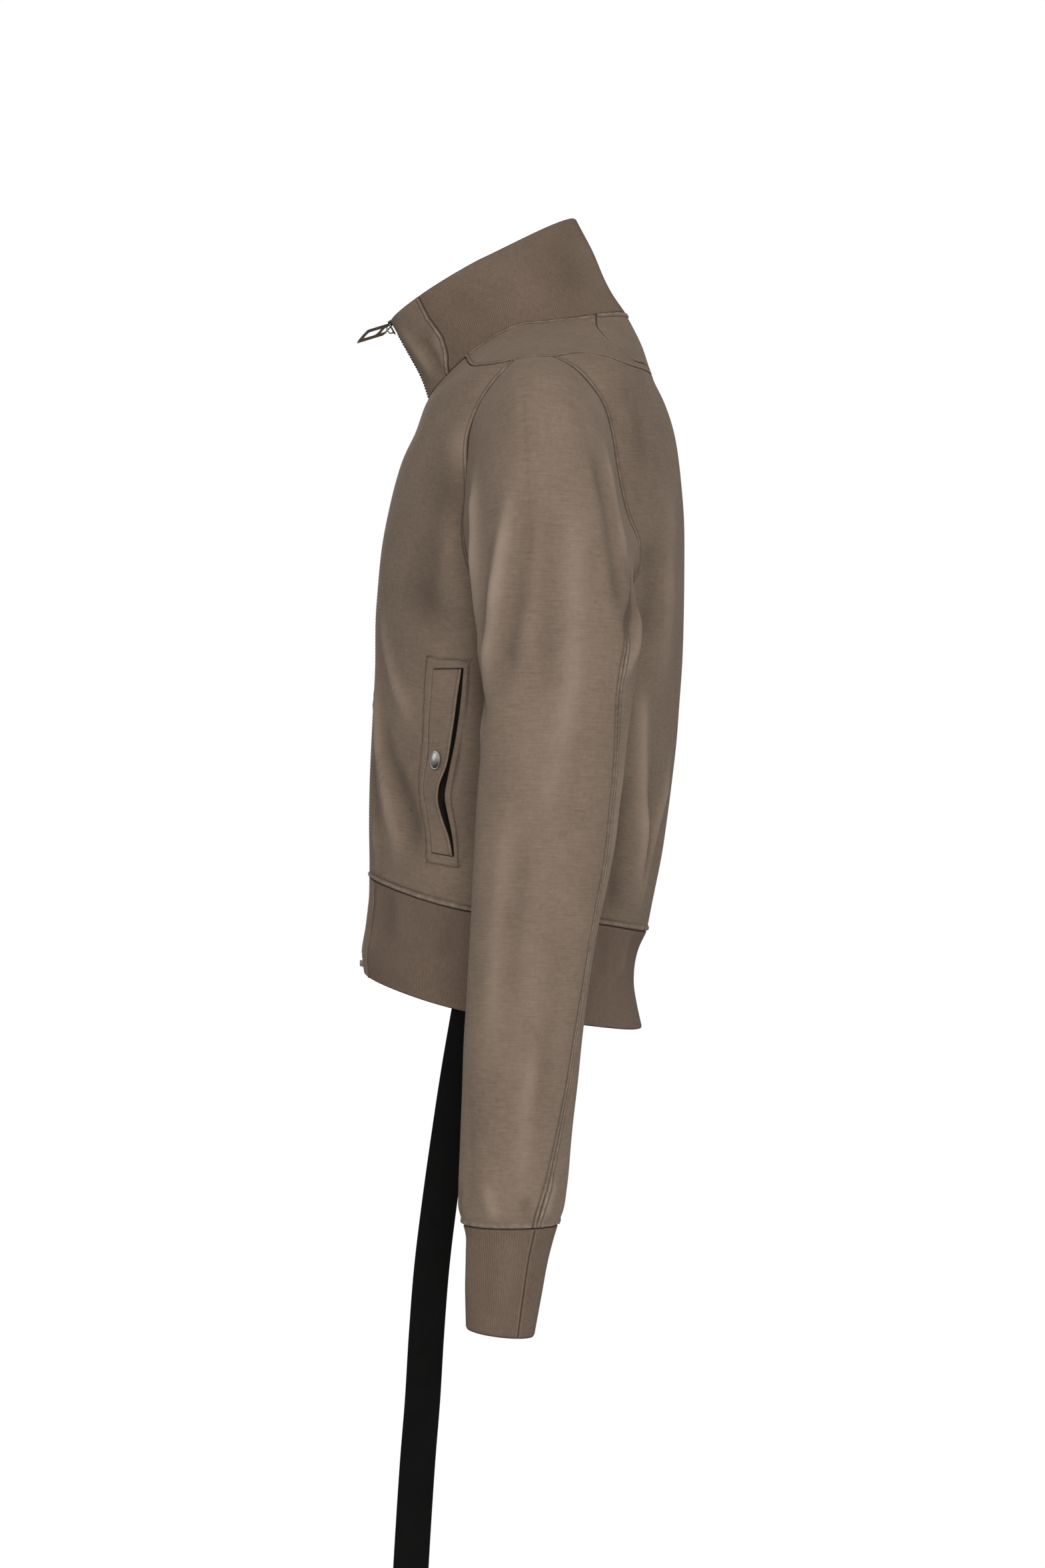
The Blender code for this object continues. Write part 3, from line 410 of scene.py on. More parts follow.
class Finish:
    """One material on one Principled shader, whose constants are given by name."""

    def __init__(self, name, **constants):
        self.material = bpy.data.materials.new(name)
        self.material.use_nodes = True
        self.tree = self.material.node_tree
        self.shader = self.tree.nodes["Principled BSDF"]
        for label, value in constants.items():
            self.shader.inputs[label.replace("_", " ")].default_value = value

    def node(self, kind, settings=None, sockets=None, out=0):
        """Any node: its type, its settings, which are set first, then the values or links of its sockets."""
        node = self.tree.nodes.new(kind)
        for label, value in (settings or {}).items():
            setattr(node, label, value)
        for label, value in (sockets or {}).items():
            feed(self.tree, node.inputs[label], value)
        return Flow(self.tree, node.outputs[out])

    def layer(self, name):
        """A number kept on the mesh's points: worn, sunk or fold."""
        return self.node("ShaderNodeAttribute", {"attribute_name": name}, out=2)

    def noise(self, scale, detail=2.0, vector=None, rough=0.5):
        """Noise on the piece's Object coordinates, in metres, or on another vector."""
        vector = vector or self.node("ShaderNodeTexCoord", out=3)
        return self.node("ShaderNodeTexNoise", {}, {"Vector": vector, "Scale": scale, "Detail": detail,
                                                    "Roughness": rough}, 0)

    def stretched(self, x, y, z=1.0):
        """The piece's UV map, in metres, stretched by factors."""
        uv = self.node("ShaderNodeUVMap", {"uv_map": "cloth"})
        return self.node("ShaderNodeVectorMath", {"operation": "MULTIPLY"}, {0: uv, 1: (x, y, z)})

    def part(self, vector, axis):
        """One of a vector's three numbers."""
        return self.node("ShaderNodeSeparateXYZ", {}, {0: vector}, axis)

    def tone(self, low, high, amount):
        """The colour a share amount of the way from low to high."""
        return self.node("ShaderNodeMix", {"data_type": "RGBA"}, {0: amount, 6: low, 7: high}, 2)

    def bump(self, height, distance, strength=1.0):
        """A normal tilted by a height map; distance is the depth in metres for a height of 1."""
        return self.node("ShaderNodeBump", {}, {"Height": height, "Distance": distance, "Strength": strength})

    def wear(self, **links):
        """Link what varies over the surface to the shader, and give back the material."""
        for label, value in links.items():
            feed(self.tree, self.shader.inputs[label.replace("_", " ")], value)
        return self.material


def linear(red, green, blue):
    """A colour seen on a screen, 0 to 255, as the light it stands for."""
    c = np.array([red, green, blue]) / 255
    return tuple(np.where(c <= 0.04045, c / 12.92, ((c + 0.055) / 1.055) ** 2.4)) + (1.0,)


JERSEY_TONES = {"deep": (98, 82, 70), "pale": (156, 137, 120)}


def jersey_finish(name, colours, wale=1.35 * MM):
    """Soft brushed jersey: cloudy washed dye, fine cross streaks, grain, pale worn seam ridges and slubs.
    Crease tops are paler, partly wash fade and partly painted highlight; crease troughs, seam grooves
    and stitched lines are darker as painted shade.
    """
    f = Finish(name, Roughness=0.92, Sheen_Weight=0.14, Sheen_Roughness=0.5, Specular_IOR_Level=0.16)
    f.shader.inputs["Sheen Tint"].default_value = linear(196, 178, 160)
    cloud, patchy = f.noise(11.0, 3.0), f.noise(38.0, 2.0)
    streak, mottle = f.noise(1.0, 2.0, f.stretched(80.0, 620.0)), f.noise(230.0, 2.0, rough=0.6)
    grain = f.noise(820.0, 3.0, rough=0.7)
    tint = 0.5 + (cloud - 0.5) * 0.36 + (patchy - 0.5) * 0.22 + (streak - 0.5) * 0.46
    tint = tint + (grain - 0.5) * 0.46 + (mottle - 0.5) * 0.34
    body = f.tone(linear(*colours["deep"]), linear(*colours["pale"]), tint.clamp())
    slub = (f.noise(1.0, 1.0, f.stretched(850.0, 190.0)) * 11 - 8.4).clamp() * (cloud * 9 - 4.6).clamp()
    worn = f.layer("worn") * (0.30 + 1.5 * (f.noise(190.0, 2.0) - 0.5))
    # paler with seam wear and slubs, and on crease tops partly as wash fade and partly as painted highlight
    paling_and_highlight = (worn + f.layer("fold") * 0.125 + slub * 0.55).clamp()
    body = f.tone(body, linear(*[c + 24 for c in colours["pale"]]), paling_and_highlight)
    # painted shade: darker in the crease troughs
    body = f.tone(body, linear(*[c * 0.72 for c in colours["deep"]]), (f.layer("fold") * -0.095).clamp())
    # painted shade: much darker in the seam grooves and along the stitched lines
    body = f.tone(body, linear(*[c * 0.45 for c in colours["deep"]]), (f.layer("sunk") * 0.8).clamp())
    across = f.part(f.stretched(2 * math.pi / wale, 1.0), 0)
    wales = across.math("SINE", across)
    normal = f.bump(grain * 0.8 + wales * 0.10 + streak * 0.35, 0.35 * MM, 0.65)
    return f.wear(Base_Color=body, Normal=normal)


jersey = jersey_finish("washed_jersey", JERSEY_TONES)
arm_front, arm_top, arm_back = (walk(line, count * FINE) for line, count in
                                ((ARM_FRONT, 12), (ARM_TOP, 4), (ARM_BACK, 12)))
yoke_front, yoke_back, vee = (walk(line, count * FINE) for line, count in
                              ((YOKE_FRONT, 5), (YOKE_BACK, 8), (VEE, 8)))
rows_low = np.r_[0, 0.04, np.linspace(*POCKET_UP, 9), 0.447, UNDERARM]
rows_low = np.interp(np.arange(12 * FINE + 1) / FINE, np.arange(13), rows_low)
side_up = np.stack([np.full(len(rows_low), SIDE), rows_low], -1)
# neck seam from the zip edge to centre back: facing, front, yoke, insert
neck = (level(edge_turn(TORSO, 1.0), 37.5, 5, 1.0), level(37.5, NECK_FRONT, 2, 1.0),
        level(NECK_FRONT, NECK_VEE, 9, 1.0), level(NECK_VEE, 180, 8, 1.0))
# hem seam from the zip edge to centre back
hem = (level(edge_turn(TORSO, 0.0), HEM_FACING, 4, 0.0), level(HEM_FACING, 57, 3, 0.0),
       level(57, 66.5, 3, 0.0), level(66.5, 77, 2, 0.0), level(77, SIDE, 3, 0.0),
       level(SIDE, 123, 4, 0.0), level(123, 180, 8, 0.0))


def on_body(way, table=TORSO, count=260):
    """Close samples in metres along a line given in degrees and share up."""
    return rings(table, *walk(way, count, table).T)


def straight(way, table=TORSO, count=700):
    """As on_body, but with corners kept, for a line already made of many points."""
    at = np.linspace(0, len(way) - 1, count)
    way = np.array(way, float)
    return rings(table, *(np.interp(at, np.arange(len(way)), way[:, k]) for k in (0, 1)))


def window_edge(line, count=8 * FINE):
    """A pattern edge of the pocket as a smooth curve, foot to head."""
    line, at = np.array(line[::-1], float), np.linspace(line[-1][1], line[0][1], count + 1)
    return np.stack([smooth(line[:, 1], line[:, :1], at)[:, 0], at], -1)


whole_neck = join(*neck, *[mirror(line) for line in neck[::-1]])
whole_hem = join(*hem, *[mirror(line) for line in hem[::-1]])
arm_line = join(arm_front, arm_top, arm_back)
side_line = np.stack([np.full(60, SIDE), np.linspace(0, UNDERARM, 60)], -1)
window_front, window_rear = window_edge(WINDOW_FRONT), window_edge(WINDOW_REAR)
window = np.concatenate([window_front, np.linspace(window_front[-1], window_rear[-1], 12)[1:],
                         window_rear[::-1][1:], np.linspace(window_rear[0], window_front[0], 12)[1:]])
pocket_box = np.concatenate([np.linspace(POCKET_STITCH[0], POCKET_STITCH[1], 14)[:-1],
                             window_edge(POCKET_STITCH[1:-1])[::-1],
                             np.linspace(POCKET_STITCH[-2], POCKET_STITCH[-1], 14)[1:]])
pocket_rear = window_edge(POCKET_REAR_STITCH)[::-1]
zip_line = np.stack([edge_turn(TORSO, np.linspace(0, 1, 90)), np.linspace(0, 1, 90)], -1)


def shifted(folds, nudge):
    """The same creases a little higher, and each one turned by a sine of its own height."""
    return [(height, half, [(t + 14 * nudge * math.sin(3 * height), u * (1 + nudge)) for t, u in way])
            for height, half, way in folds]


def opposite(folds, weaker=0.85, turned_by=0.0, higher=1.0):
    """Creases of the other half: 360 less their degrees, weaker, and a little off their places."""
    return [(height * weaker, half, [(360 - t - turned_by, u * higher) for t, u in way])
            for height, half, way in folds]


def panel(name, table, grid, finish, wall=CLOTH, seams=(), folds=(), strength=1.0,
          keep=None, flip=False, nudge=0.0):
    """A cut piece on a form: its grid holds degrees and share up, and its cloth is moved along the form's
    normals by its creases and seams. Where the body meets the band, the normals of the two are blended
    over six rows. nudge shifts the creases up a little on the other side."""
    points, normals = (f(table, grid[..., 0], grid[..., 1]) for f in (rings, outward))
    for other, share, edge in ((BAND, 1, 0), (TORSO, 0, -1)):
        meets = (table is BAND or table is TORSO) and table is not other
        if meets and abs(grid[0, edge, 1] + share - 1) < 1e-6:
            both = normals[:, edge] + outward(other, grid[:, edge, 0], 0 * grid[:, edge, 1] + share)
            both /= np.linalg.norm(both, axis=-1, keepdims=True)
            count = min(6, grid.shape[1])
            for k in range(count):
                j, w = (k if edge == 0 else -1 - k), 1 - k / count
                normals[:, j] = normals[:, j] * (1 - w) + both * w
            normals /= np.linalg.norm(normals, axis=-1, keepdims=True)
    rise = creases(points, shifted(folds, nudge), lambda way: on_body(way, table), strength)
    lift, worn, sunk = weather(points, seams, rise)
    outer = points + lift[..., None] * MM * normals
    if wall > CLOTH:
        inner = points - wall * normals + 0.6 * rise[..., None] * MM * normals
    else:
        inner = outer - wall * normals
    u = np.cumsum(np.r_[np.zeros((1, points.shape[1])), np.linalg.norm(np.diff(points, axis=0), axis=-1)], 0)
    v = np.cumsum(np.c_[np.zeros(points.shape[0]), np.linalg.norm(np.diff(points, axis=1), axis=-1)], 1)
    middle = points.shape[1] // 2
    uv = np.stack([np.broadcast_to(u[:, middle:middle + 1], u.shape), v], -1)
    return cut(name, outer, inner, finish, keep, False, flip, worn, sunk, rise, uv)


def pocket_column(foot, edge, way, head):
    """Column of the front panel that follows one edge of the pocket window, foot to head."""
    middle = window_edge(edge)
    low = np.stack([np.linspace(foot, middle[0, 0], 2 * FINE + 1), rows_low[:2 * FINE + 1]], -1)
    return join(low, middle, walk([tuple(middle[-1])] + way + [tuple(head)], 11 * FINE))


def front_grid():
    """Front panel in patches side by side, each in a part below and a part beside the armhole."""
    top, under = join(neck[0], neck[1], yoke_front), 12 * FINE
    shares = np.r_[rows_low, np.linspace(UNDERARM, 1, 9 * FINE + 1)[1:]]
    columns = [np.stack([edge_turn(TORSO, shares), shares], -1),
               pocket_column(57, WINDOW_FRONT, [(47, 0.6), (41, 0.75), (43, 0.89)], top[7 * FINE]),
               pocket_column(66.5, WINDOW_REAR, [(58, 0.56), (51.5, 0.70), (52.5, 0.83)], top[10 * FINE]),
               join(np.stack([np.linspace(77, arm_front[3 * FINE, 0], under + 1),
                              rows_low * arm_front[3 * FINE, 1] / UNDERARM], -1), arm_front[3 * FINE:])]
    feet = (join(hem[0], hem[1]), hem[2], hem[3])
    heads = (top[:7 * FINE + 1], top[7 * FINE:10 * FINE + 1], top[10 * FINE:12 * FINE + 1])
    low, high = [], []
    for a, b, start, end in zip(columns, columns[1:], feet, heads):
        share = np.linspace(0, 1, len(start))[:, None]
        middle = a[under] + share * (b[under] - a[under])
        low.append(patch(start, b[:under + 1], middle, a[:under + 1]))
        high.append(patch(middle, b[under:], end, a[under:]))
    low.append(patch(hem[4], side_up, arm_front[:3 * FINE + 1][::-1], columns[3][:under + 1]))
    high.append(np.repeat(high[-1][-1:], 3 * FINE + 1, 0))
    low, high = (np.concatenate([part[0]] + [block[1:] for block in part[1:]]) for part in (low, high))
    return np.concatenate([low, high[:, 1:]], 1)


columns, rows = chosen(15, [0, 7, 10, 12, 15], 4), chosen(21, [0, 2, 10, 12, 21], 4)
grid = front_grid()[np.ix_(columns, rows)]
i, j = np.meshgrid(columns[:-1] / FINE, rows[:-1] / FINE, indexing="ij")
keep = ~((i >= 7) & (i < 10) & (j >= 2) & (j < 10)) & ~((i >= 12) & (j >= 12))
front_seams = [(straight(whole_neck), "edge"), (straight(yoke_front, count=200), "edge"),
               (straight(arm_line), "twin"), (straight(side_line, count=200), "plain"),
               (straight(whole_hem[:len(whole_hem) // 2]), "felled"), (straight(zip_line), "edge"),
               (straight(window, count=900), "plain"), (straight(pocket_box), "stitched"),
               (straight(pocket_rear, count=400), "stitched")]
for side, flip, strength, nudge in HALVES:
    front = panel("front_panel_" + side, TORSO, grid, jersey, CLOTH, front_seams, BODY_FOLDS, strength,
                  keep, flip, nudge)
    declare("front_" + side)

columns, rows = chosen(24, [0, 4, 20, 24], 4), chosen(20, [0, 12, 20], 4)
corner = arm_back[8 * FINE]
foot, head = join(hem[5], hem[6]), join(yoke_back, mirror(yoke_back))
across = np.stack([np.linspace(corner[0], 180, 8 * FINE + 1),
                   corner[1] + 0.02 * np.sin(np.linspace(0, np.pi / 2, 8 * FINE + 1))], -1)
middle = join(arm_back[8 * FINE:][::-1], across)
low = patch(join(foot, mirror(foot)), mirror(side_up)[::-1], join(middle, mirror(middle)), side_up)
left = arm_back[:8 * FINE + 1][::-1]
high = patch(join(across, mirror(across)), mirror(left)[::-1], head, left)
high = np.concatenate([np.repeat(high[:1], 4 * FINE, 0), high, np.repeat(high[-1:], 4 * FINE, 0)], 0)
grid = np.concatenate([low, high[:, 1:]], 1)[np.ix_(columns, rows)]
i, j = np.meshgrid(columns[:-1] / FINE, rows[:-1] / FINE, indexing="ij")
keep = ~(((i < 4) | (i >= 20)) & (j >= 12))
other_side = opposite([fold for fold in BODY_FOLDS if fold[2][0][0] > 80], higher=1.04)
back_seams = [(straight(yoke_back, count=300), "fold"), (straight(mirror(yoke_back), count=300), "fold"),
              (straight(arm_line), "twin"), (straight(mirror(arm_line)), "twin"),
              (straight(side_line, count=200), "plain"), (straight(mirror(side_line), count=200), "plain"),
              (straight(whole_hem, count=1200), "felled")]
back = panel("back_panel", TORSO, grid, jersey, CLOTH, back_seams, BODY_FOLDS + other_side,
             BACK_STRENGTH, keep)
declare("back")

# ---------------------------------------------------------------- yokes and neck insert
# The shoulder yokes run over from front to back in one piece, and a pointed insert fills the back
# of the neck; both are the same jersey, felled to the panels and stitched down.


def leaf(bottom, top, rows, first, last):
    """Straight blend between two lines that meet at both ends, with the sharp tips cut off."""
    low, high = bottom.copy(), top.copy()
    for line in (low, high):
        line[:FINE + 1] += (line[FINE] - line[0]) * first * np.linspace(1, 0, FINE + 1)[:, None]
        line[-FINE - 1:] += (line[-FINE - 1] - line[-1]) * last * np.linspace(0, 1, FINE + 1)[:, None]
    t = np.linspace(0, 1, rows * FINE + 1)[None, :, None]
    return (1 - t) * low[:, None] + t * high[:, None]


yoke_seams = [(straight(whole_neck), "neck"), (straight(yoke_front, count=200), "twin"),
              (straight(arm_line), "twin"), (straight(yoke_back, count=300), "fold"),
              (straight(vee, count=300), "fold")]
grid = leaf(join(yoke_front, arm_top, yoke_back), join(neck[2], vee), 3, 0.15, 0.03)
grid = grid[np.ix_(chosen(17, [0, 17], 4), chosen(3, [0, 3], 2, 10))]
for side, flip, strength, _ in HALVES:
    yoke = panel("shoulder_yoke_" + side, TORSO, grid, jersey, CLOTH, yoke_seams, BODY_FOLDS, strength,
                 flip=flip)
    declare("yoke_" + side)
grid = leaf(join(vee, mirror(vee)), join(neck[3], mirror(neck[3])), 3, 0.15, 0.15)
grid = grid[np.ix_(chosen(16, [0, 16], 4), chosen(3, [0, 3], 2, 10))]
insert_seams = [(straight(whole_neck), "neck"), (straight(vee, count=300), "fold"),
                (straight(mirror(vee), count=300), "fold")]
insert = panel("back_neck_insert", TORSO, grid, jersey, CLOTH, insert_seams, BODY_FOLDS, BACK_STRENGTH)
declare("neck_insert")

# ---------------------------------------------------------------- stand collar
# A tall collar of fine rib knit folded double, with a jersey facing beside the zip at each end.
# It leans forward, and its seam to the facing is pressed flat, so small bumps show along it.
# columns as the body's
COLLAR = [
    (0.00, -77.4, 4, 85.6, -54.1, 0, 16, 75, 2.00, 1.5),
    (0.30, -84.0, -4, 71.0, -36.0, 17, 38, 74, 2.00, 1.3),
    (0.65, -97.0, -18, 58.5, -12.0, 40, 67, 72, 2.05, 1.1),
    (1.00, -109.4, -32, 44.2, 10.0, 54, 94.5, 68, 2.10, 1.0),
]
COLLAR_FACING = [(37.5, 0.0), (42.0, 0.2), (45.0, 0.43), (44.5, 0.7), (47.5, 1.0)]
COLLAR_FOLDS = [
    (2.0, 9, [(14, 0.92), (19, 0.6), (22, 0.3), (24, 0.05)]),
    (-2.4, 8, [(30, 0.62), (31, 0.35), (30, 0.02)]),
    (1.4, 7, [(39, 0.5), (38, 0.25), (36, 0.03)]),
    (-1.3, 12, [(60, 0.75), (66, 0.5), (70, 0.2)]),
    (1.2, 14, [(92, 0.85), (96, 0.5), (96, 0.15)]),
    (-1.6, 13, [(128, 0.9), (132, 0.55), (137, 0.2)]),
    (1.5, 14, [(158, 0.8), (160, 0.45), (163, 0.15)]),
]
RIB_TONES = {"deep": (88, 73, 62), "pale": (145, 125, 109)}


def rib_finish(name, colours, pitch):
    """Fine rib knit: upright ribs by the UV map, short knit loops, a cloudy washed dye. Crease tops are
    paler, partly wash fade and partly painted highlight; crease troughs, seam grooves and stitched lines
    are darker as painted shade.
    """
    f = Finish(name, Roughness=0.94, Sheen_Weight=0.16, Sheen_Roughness=0.5, Specular_IOR_Level=0.16)
    f.shader.inputs["Sheen Tint"].default_value = linear(180, 160, 142)
    cloud, patchy = f.noise(12.0, 3.0), f.noise(45.0, 2.0)
    grain, mottle = f.noise(900.0, 3.0, rough=0.7), f.noise(250.0, 2.0, rough=0.6)
    fleck = f.noise(1.0, 2.0, f.stretched(900.0, 260.0))
    ribs = f.part(f.stretched(2 * math.pi / pitch, 1.0), 0)
    ribs = ribs.math("SINE", ribs + (f.noise(60.0, 1.0) - 0.5) * 1.6)
    tint = 0.5 + (cloud - 0.5) * 0.30 + (patchy - 0.5) * 0.14 + (grain - 0.5) * 0.38
    tint = tint + (fleck - 0.5) * 0.40 + ribs * 0.11 + (mottle - 0.5) * 0.26
    body = f.tone(linear(*colours["deep"]), linear(*colours["pale"]), tint.clamp())
    # paler with seam wear, and on crease tops partly as wash fade and partly as painted highlight
    paling_and_highlight = (f.layer("worn") * 0.34 + f.layer("fold") * 0.06).clamp()
    body = f.tone(body, linear(*[c + 22 for c in colours["pale"]]), paling_and_highlight)
    # painted shade: darker in the crease troughs
    body = f.tone(body, linear(*[c * 0.72 for c in colours["deep"]]), (f.layer("fold") * -0.08).clamp())
    # painted shade: much darker in the seam grooves and along the stitched lines
    body = f.tone(body, linear(*[c * 0.50 for c in colours["deep"]]), (f.layer("sunk") * 0.72).clamp())
    normal = f.bump(ribs * 0.55 + grain * 0.5 + fleck * 0.5, 0.4 * MM, 0.7)
    return f.wear(Base_Color=body, Normal=normal)


rib = rib_finish("fine_rib", RIB_TONES, 1.7 * MM)
facing_jersey = jersey_finish("facing_jersey", JERSEY_TONES)


def facing_line(rows, edge):
    """The facing's seam: degrees between the given points, in straight steps, at each row's share up."""
    edge = np.array(edge, float)
    return np.stack([np.interp(rows, edge[:, 1], edge[:, 0]), rows], -1)


rows = np.linspace(0, 1, 6 * FINE + 1)
collar_edge = facing_line(rows, COLLAR_FACING)
half = join(neck[1], neck[2], neck[3])
bottom = join(half, mirror(half))
share = (bottom[:, 0] - bottom[0, 0]) / (bottom[-1, 0] - bottom[0, 0])
grid = np.stack([collar_edge[None, :, 0] + share[:, None] * (360 - 2 * collar_edge[None, :, 0]),
                 np.broadcast_to(rows, (len(share), len(rows)))], -1)
grid = grid[np.ix_(chosen(38, [0, 38], 4), chosen(6, [0, 6], 3))]
top_line = [(t, 1.0) for t in np.linspace(1, 359, 500)]
facing_seam = (straight(collar_edge, COLLAR, 400), straight(mirror(collar_edge), COLLAR, 400))
collar_rims = [(straight(whole_neck), "edge"), (straight(top_line, COLLAR, 900), "edge")]
collar = panel("stand_collar", COLLAR, grid, rib, RIB,
               collar_rims + [(facing_seam[0], "edge"), (facing_seam[1], "edge")],
               COLLAR_FOLDS + opposite(COLLAR_FOLDS, 0.9))
declare("collar")
share, start = np.linspace(0, 1, 5 * FINE + 1), edge_turn(COLLAR, rows)
grid = np.stack([start[None] + share[:, None] * (collar_edge[None, :, 0] - start[None]),
                 np.broadcast_to(rows, (len(share), len(rows)))], -1)
grid = grid[np.ix_(chosen(5, [0, 5], 3), chosen(6, [0, 6], 3))]
collar_zip = np.stack([edge_turn(COLLAR, np.linspace(0, 1, 90)), np.linspace(0, 1, 90)], -1)
for side, flip, _, _ in HALVES:
    facing = panel("collar_facing_piece_" + side, COLLAR, grid, facing_jersey, RIB,
                   collar_rims + [(facing_seam[0], "pressed"), (straight(collar_zip, COLLAR, 300), "plain")],
                   COLLAR_FOLDS, flip=flip)
    declare("collar_facing_" + side)

# ---------------------------------------------------------------- hem band
# The waistband is the same rib, folded double at its lower edge and gathered slightly to the body,
# with a jersey facing beside the zip at each end. The body's creases die out in it.
rows = np.linspace(0, 1, 5 * FINE + 1)
half = join(*hem[1:])
top = join(half, mirror(half))
grid = np.stack(np.broadcast_arrays(top[:, None, 0], rows[None]), -1)
grid = grid[np.ix_(chosen(46, [0, 46], 4), chosen(5, [0, 5], 3))]
hem_facing = [(HEM_FACING, 0.0), (HEM_FACING, 1.0)]
foot_line = [(t, 0.0) for t in np.linspace(1, 359, 500)]
band_rims = [(straight(whole_hem, count=1200), "edge"), (straight(foot_line, BAND, 1200), "edge")]
band = panel("hem_waistband", BAND, grid, rib, RIB,
             band_rims + [(straight(hem_facing, BAND, 100), "edge"),
                          (straight(mirror(np.array(hem_facing)), BAND, 100), "edge")],
             BAND_FOLDS + opposite(BAND_FOLDS, turned_by=1.5))
declare("hem_band")
share, start = np.linspace(0, 1, 4 * FINE + 1), edge_turn(BAND, rows)
grid = np.stack([start[None] + share[:, None] * (HEM_FACING - start[None]),
                 np.broadcast_to(rows, (len(share), len(rows)))], -1)
grid = grid[np.ix_(chosen(4, [0, 4], 3), chosen(5, [0, 5], 3))]
band_zip = np.stack([edge_turn(BAND, np.linspace(0, 1, 60)), np.linspace(0, 1, 60)], -1)
for side, flip, _, _ in HALVES:
    facing = panel("hem_facing_piece_" + side, BAND, grid, facing_jersey, RIB,
                   band_rims + [(straight(hem_facing, BAND, 100), "pressed"),
                                (straight(band_zip, BAND, 120), "plain")],
                   BAND_FOLDS, flip=flip)
    declare("hem_facing_" + side)

# ---------------------------------------------------------------- sleeves
# Set-in sleeves of the same jersey, each cut in one piece and closed by a topstitched seam down the
# back of the arm. The cap runs from the armhole into round sections; creases fan out under the arm.
# height, x and y of the middle, half width and half depth in mm, squareness
SLEEVE = [
    (-272, 240.5, 27.5, 52.5, 62.3, 2.1), (-301, 243.0, 27.6, 51.5, 58.0, 2.1),
    (-331, 245.5, 24.8, 51.0, 55.6, 2.1), (-379, 248.5, 20.2, 50.0, 54.4, 2.1),
    (-427, 251.5, 15.4, 48.5, 52.6, 2.1), (-472, 254.0, 10.1, 47.0, 49.3, 2.1),
    (-518, 257.0, 5.1, 45.5, 46.9, 2.1), (-568, 260.0, 0.4, 44.0, 45.1, 2.1),
    (-609, 262.0, -2.6, 42.5, 43.6, 2.1), (-649, 264.0, -5.3, 41.5, 42.2, 2.1),
    (-680, 265.0, -7.5, 41.0, 41.2, 2.1), (-697, 265.5, -8.9, 40.0, 39.9, 2.0),
    (-708, 266.0, -9.2, 37.0, 36.2, 2.0),
]
# height and half width in mm, then the line in degrees (90 is the front of the arm) and height
SLEEVE_FOLDS = [
    (3.2, 8, [(147, -140), (143, -165), (137, -195), (131, -222), (126, -246), (120, -270), (110, -293),
              (98, -314)]),
    (-1.8, 9, [(125, -170), (117, -205), (110, -240), (103, -275)]),
    (-2.6, 9, [(161, -150), (158, -185), (151, -230), (142, -275), (128, -315)]),
    (4.6, 15, [(99, -128), (94, -165), (91, -200), (89, -235), (88, -262)]),
    (-2.0, 10, [(179, -150), (176, -180), (173, -225), (172, -283), (169, -320)]),
    (1.3, 10, [(198, -160), (192, -220), (189, -285), (184, -350), (180, -410)]),
    (-2.8, 9, [(210, -105), (216, -130), (224, -170), (231, -225), (240, -258)]),
    (2.2, 9, [(224, -105), (232, -130), (243, -170), (250, -215)]),
    (-3.0, 7, [(268, -212), (256, -232), (244, -248), (232, -266)]),
    (2.0, 7, [(280, -235), (262, -255), (246, -276), (232, -300)]),
    (1.6, 11, [(262, -300), (258, -360), (259, -430), (262, -500)]),
    (-1.5, 10, [(166, -400), (162, -450), (162, -500), (168, -560)]),
    (1.2, 10, [(150, -380), (146, -450), (146, -520), (150, -590)]),
    (-1.2, 9, [(204, -480), (206, -560), (202, -640)]),
    (1.3, 8, [(190, -560), (188, -620), (186, -690)]),
    (-2.2, 8, [(66, -250), (78, -285), (94, -312), (112, -330)]),
    (2.0, 9, [(40, -265), (56, -300), (78, -330), (98, -350)]),
    (-2.4, 9, [(20, -285), (40, -325), (62, -352)]),
    (1.8, 10, [(330, -290), (310, -325), (290, -352)]),
    (-2.0, 9, [(345, -315), (322, -352), (300, -385)]),
    (-1.2, 8, [(120, -600), (128, -650), (130, -700)]),
    (1.4, 6, [(150, -672), (158, -690), (162, -705)]),
    (1.4, 6, [(228, -668), (222, -690), (220, -705)]),
    (-1.5, 6, [(100, -676), (102, -692), (100, -705)]),
    (-1.3, 6, [(196, -682), (198, -695), (200, -706)]),
    (1.3, 6, [(60, -672), (62, -690), (60, -705)]),
    (1.3, 6, [(300, -672), (306, -690), (310, -705)]),
]
SLEEVE_SEAM = [(262, -215), (250, -240), (237, -262), (232, -300), (240, -344), (244, -400), (247, -460),
               (246, -520), (238, -590), (228, -640), (215, -685), (212, -706)]
SLEEVE_STRENGTH = {"left": 1.25, "right": 1.05}


def section(table, height, angle):
    """Ring of a tube at a height: a superellipse; angle 0 is the side next to the body, 90 the front."""
    rows = np.array(table, float)
    cx, cy, across, deep, square = np.moveaxis(smooth(-rows[:, 0], rows[:, 1:], -np.asarray(height)), -1, 0)
    c, s = np.cos(np.radians(angle)), np.sin(np.radians(angle))
    x = cx - across * np.sign(c) * np.abs(c) ** (2 / square)
    y = cy - deep * np.sign(s) * np.abs(s) ** (2 / square)
    return MM * np.stack([x, y, height + 0.0 * x], -1)


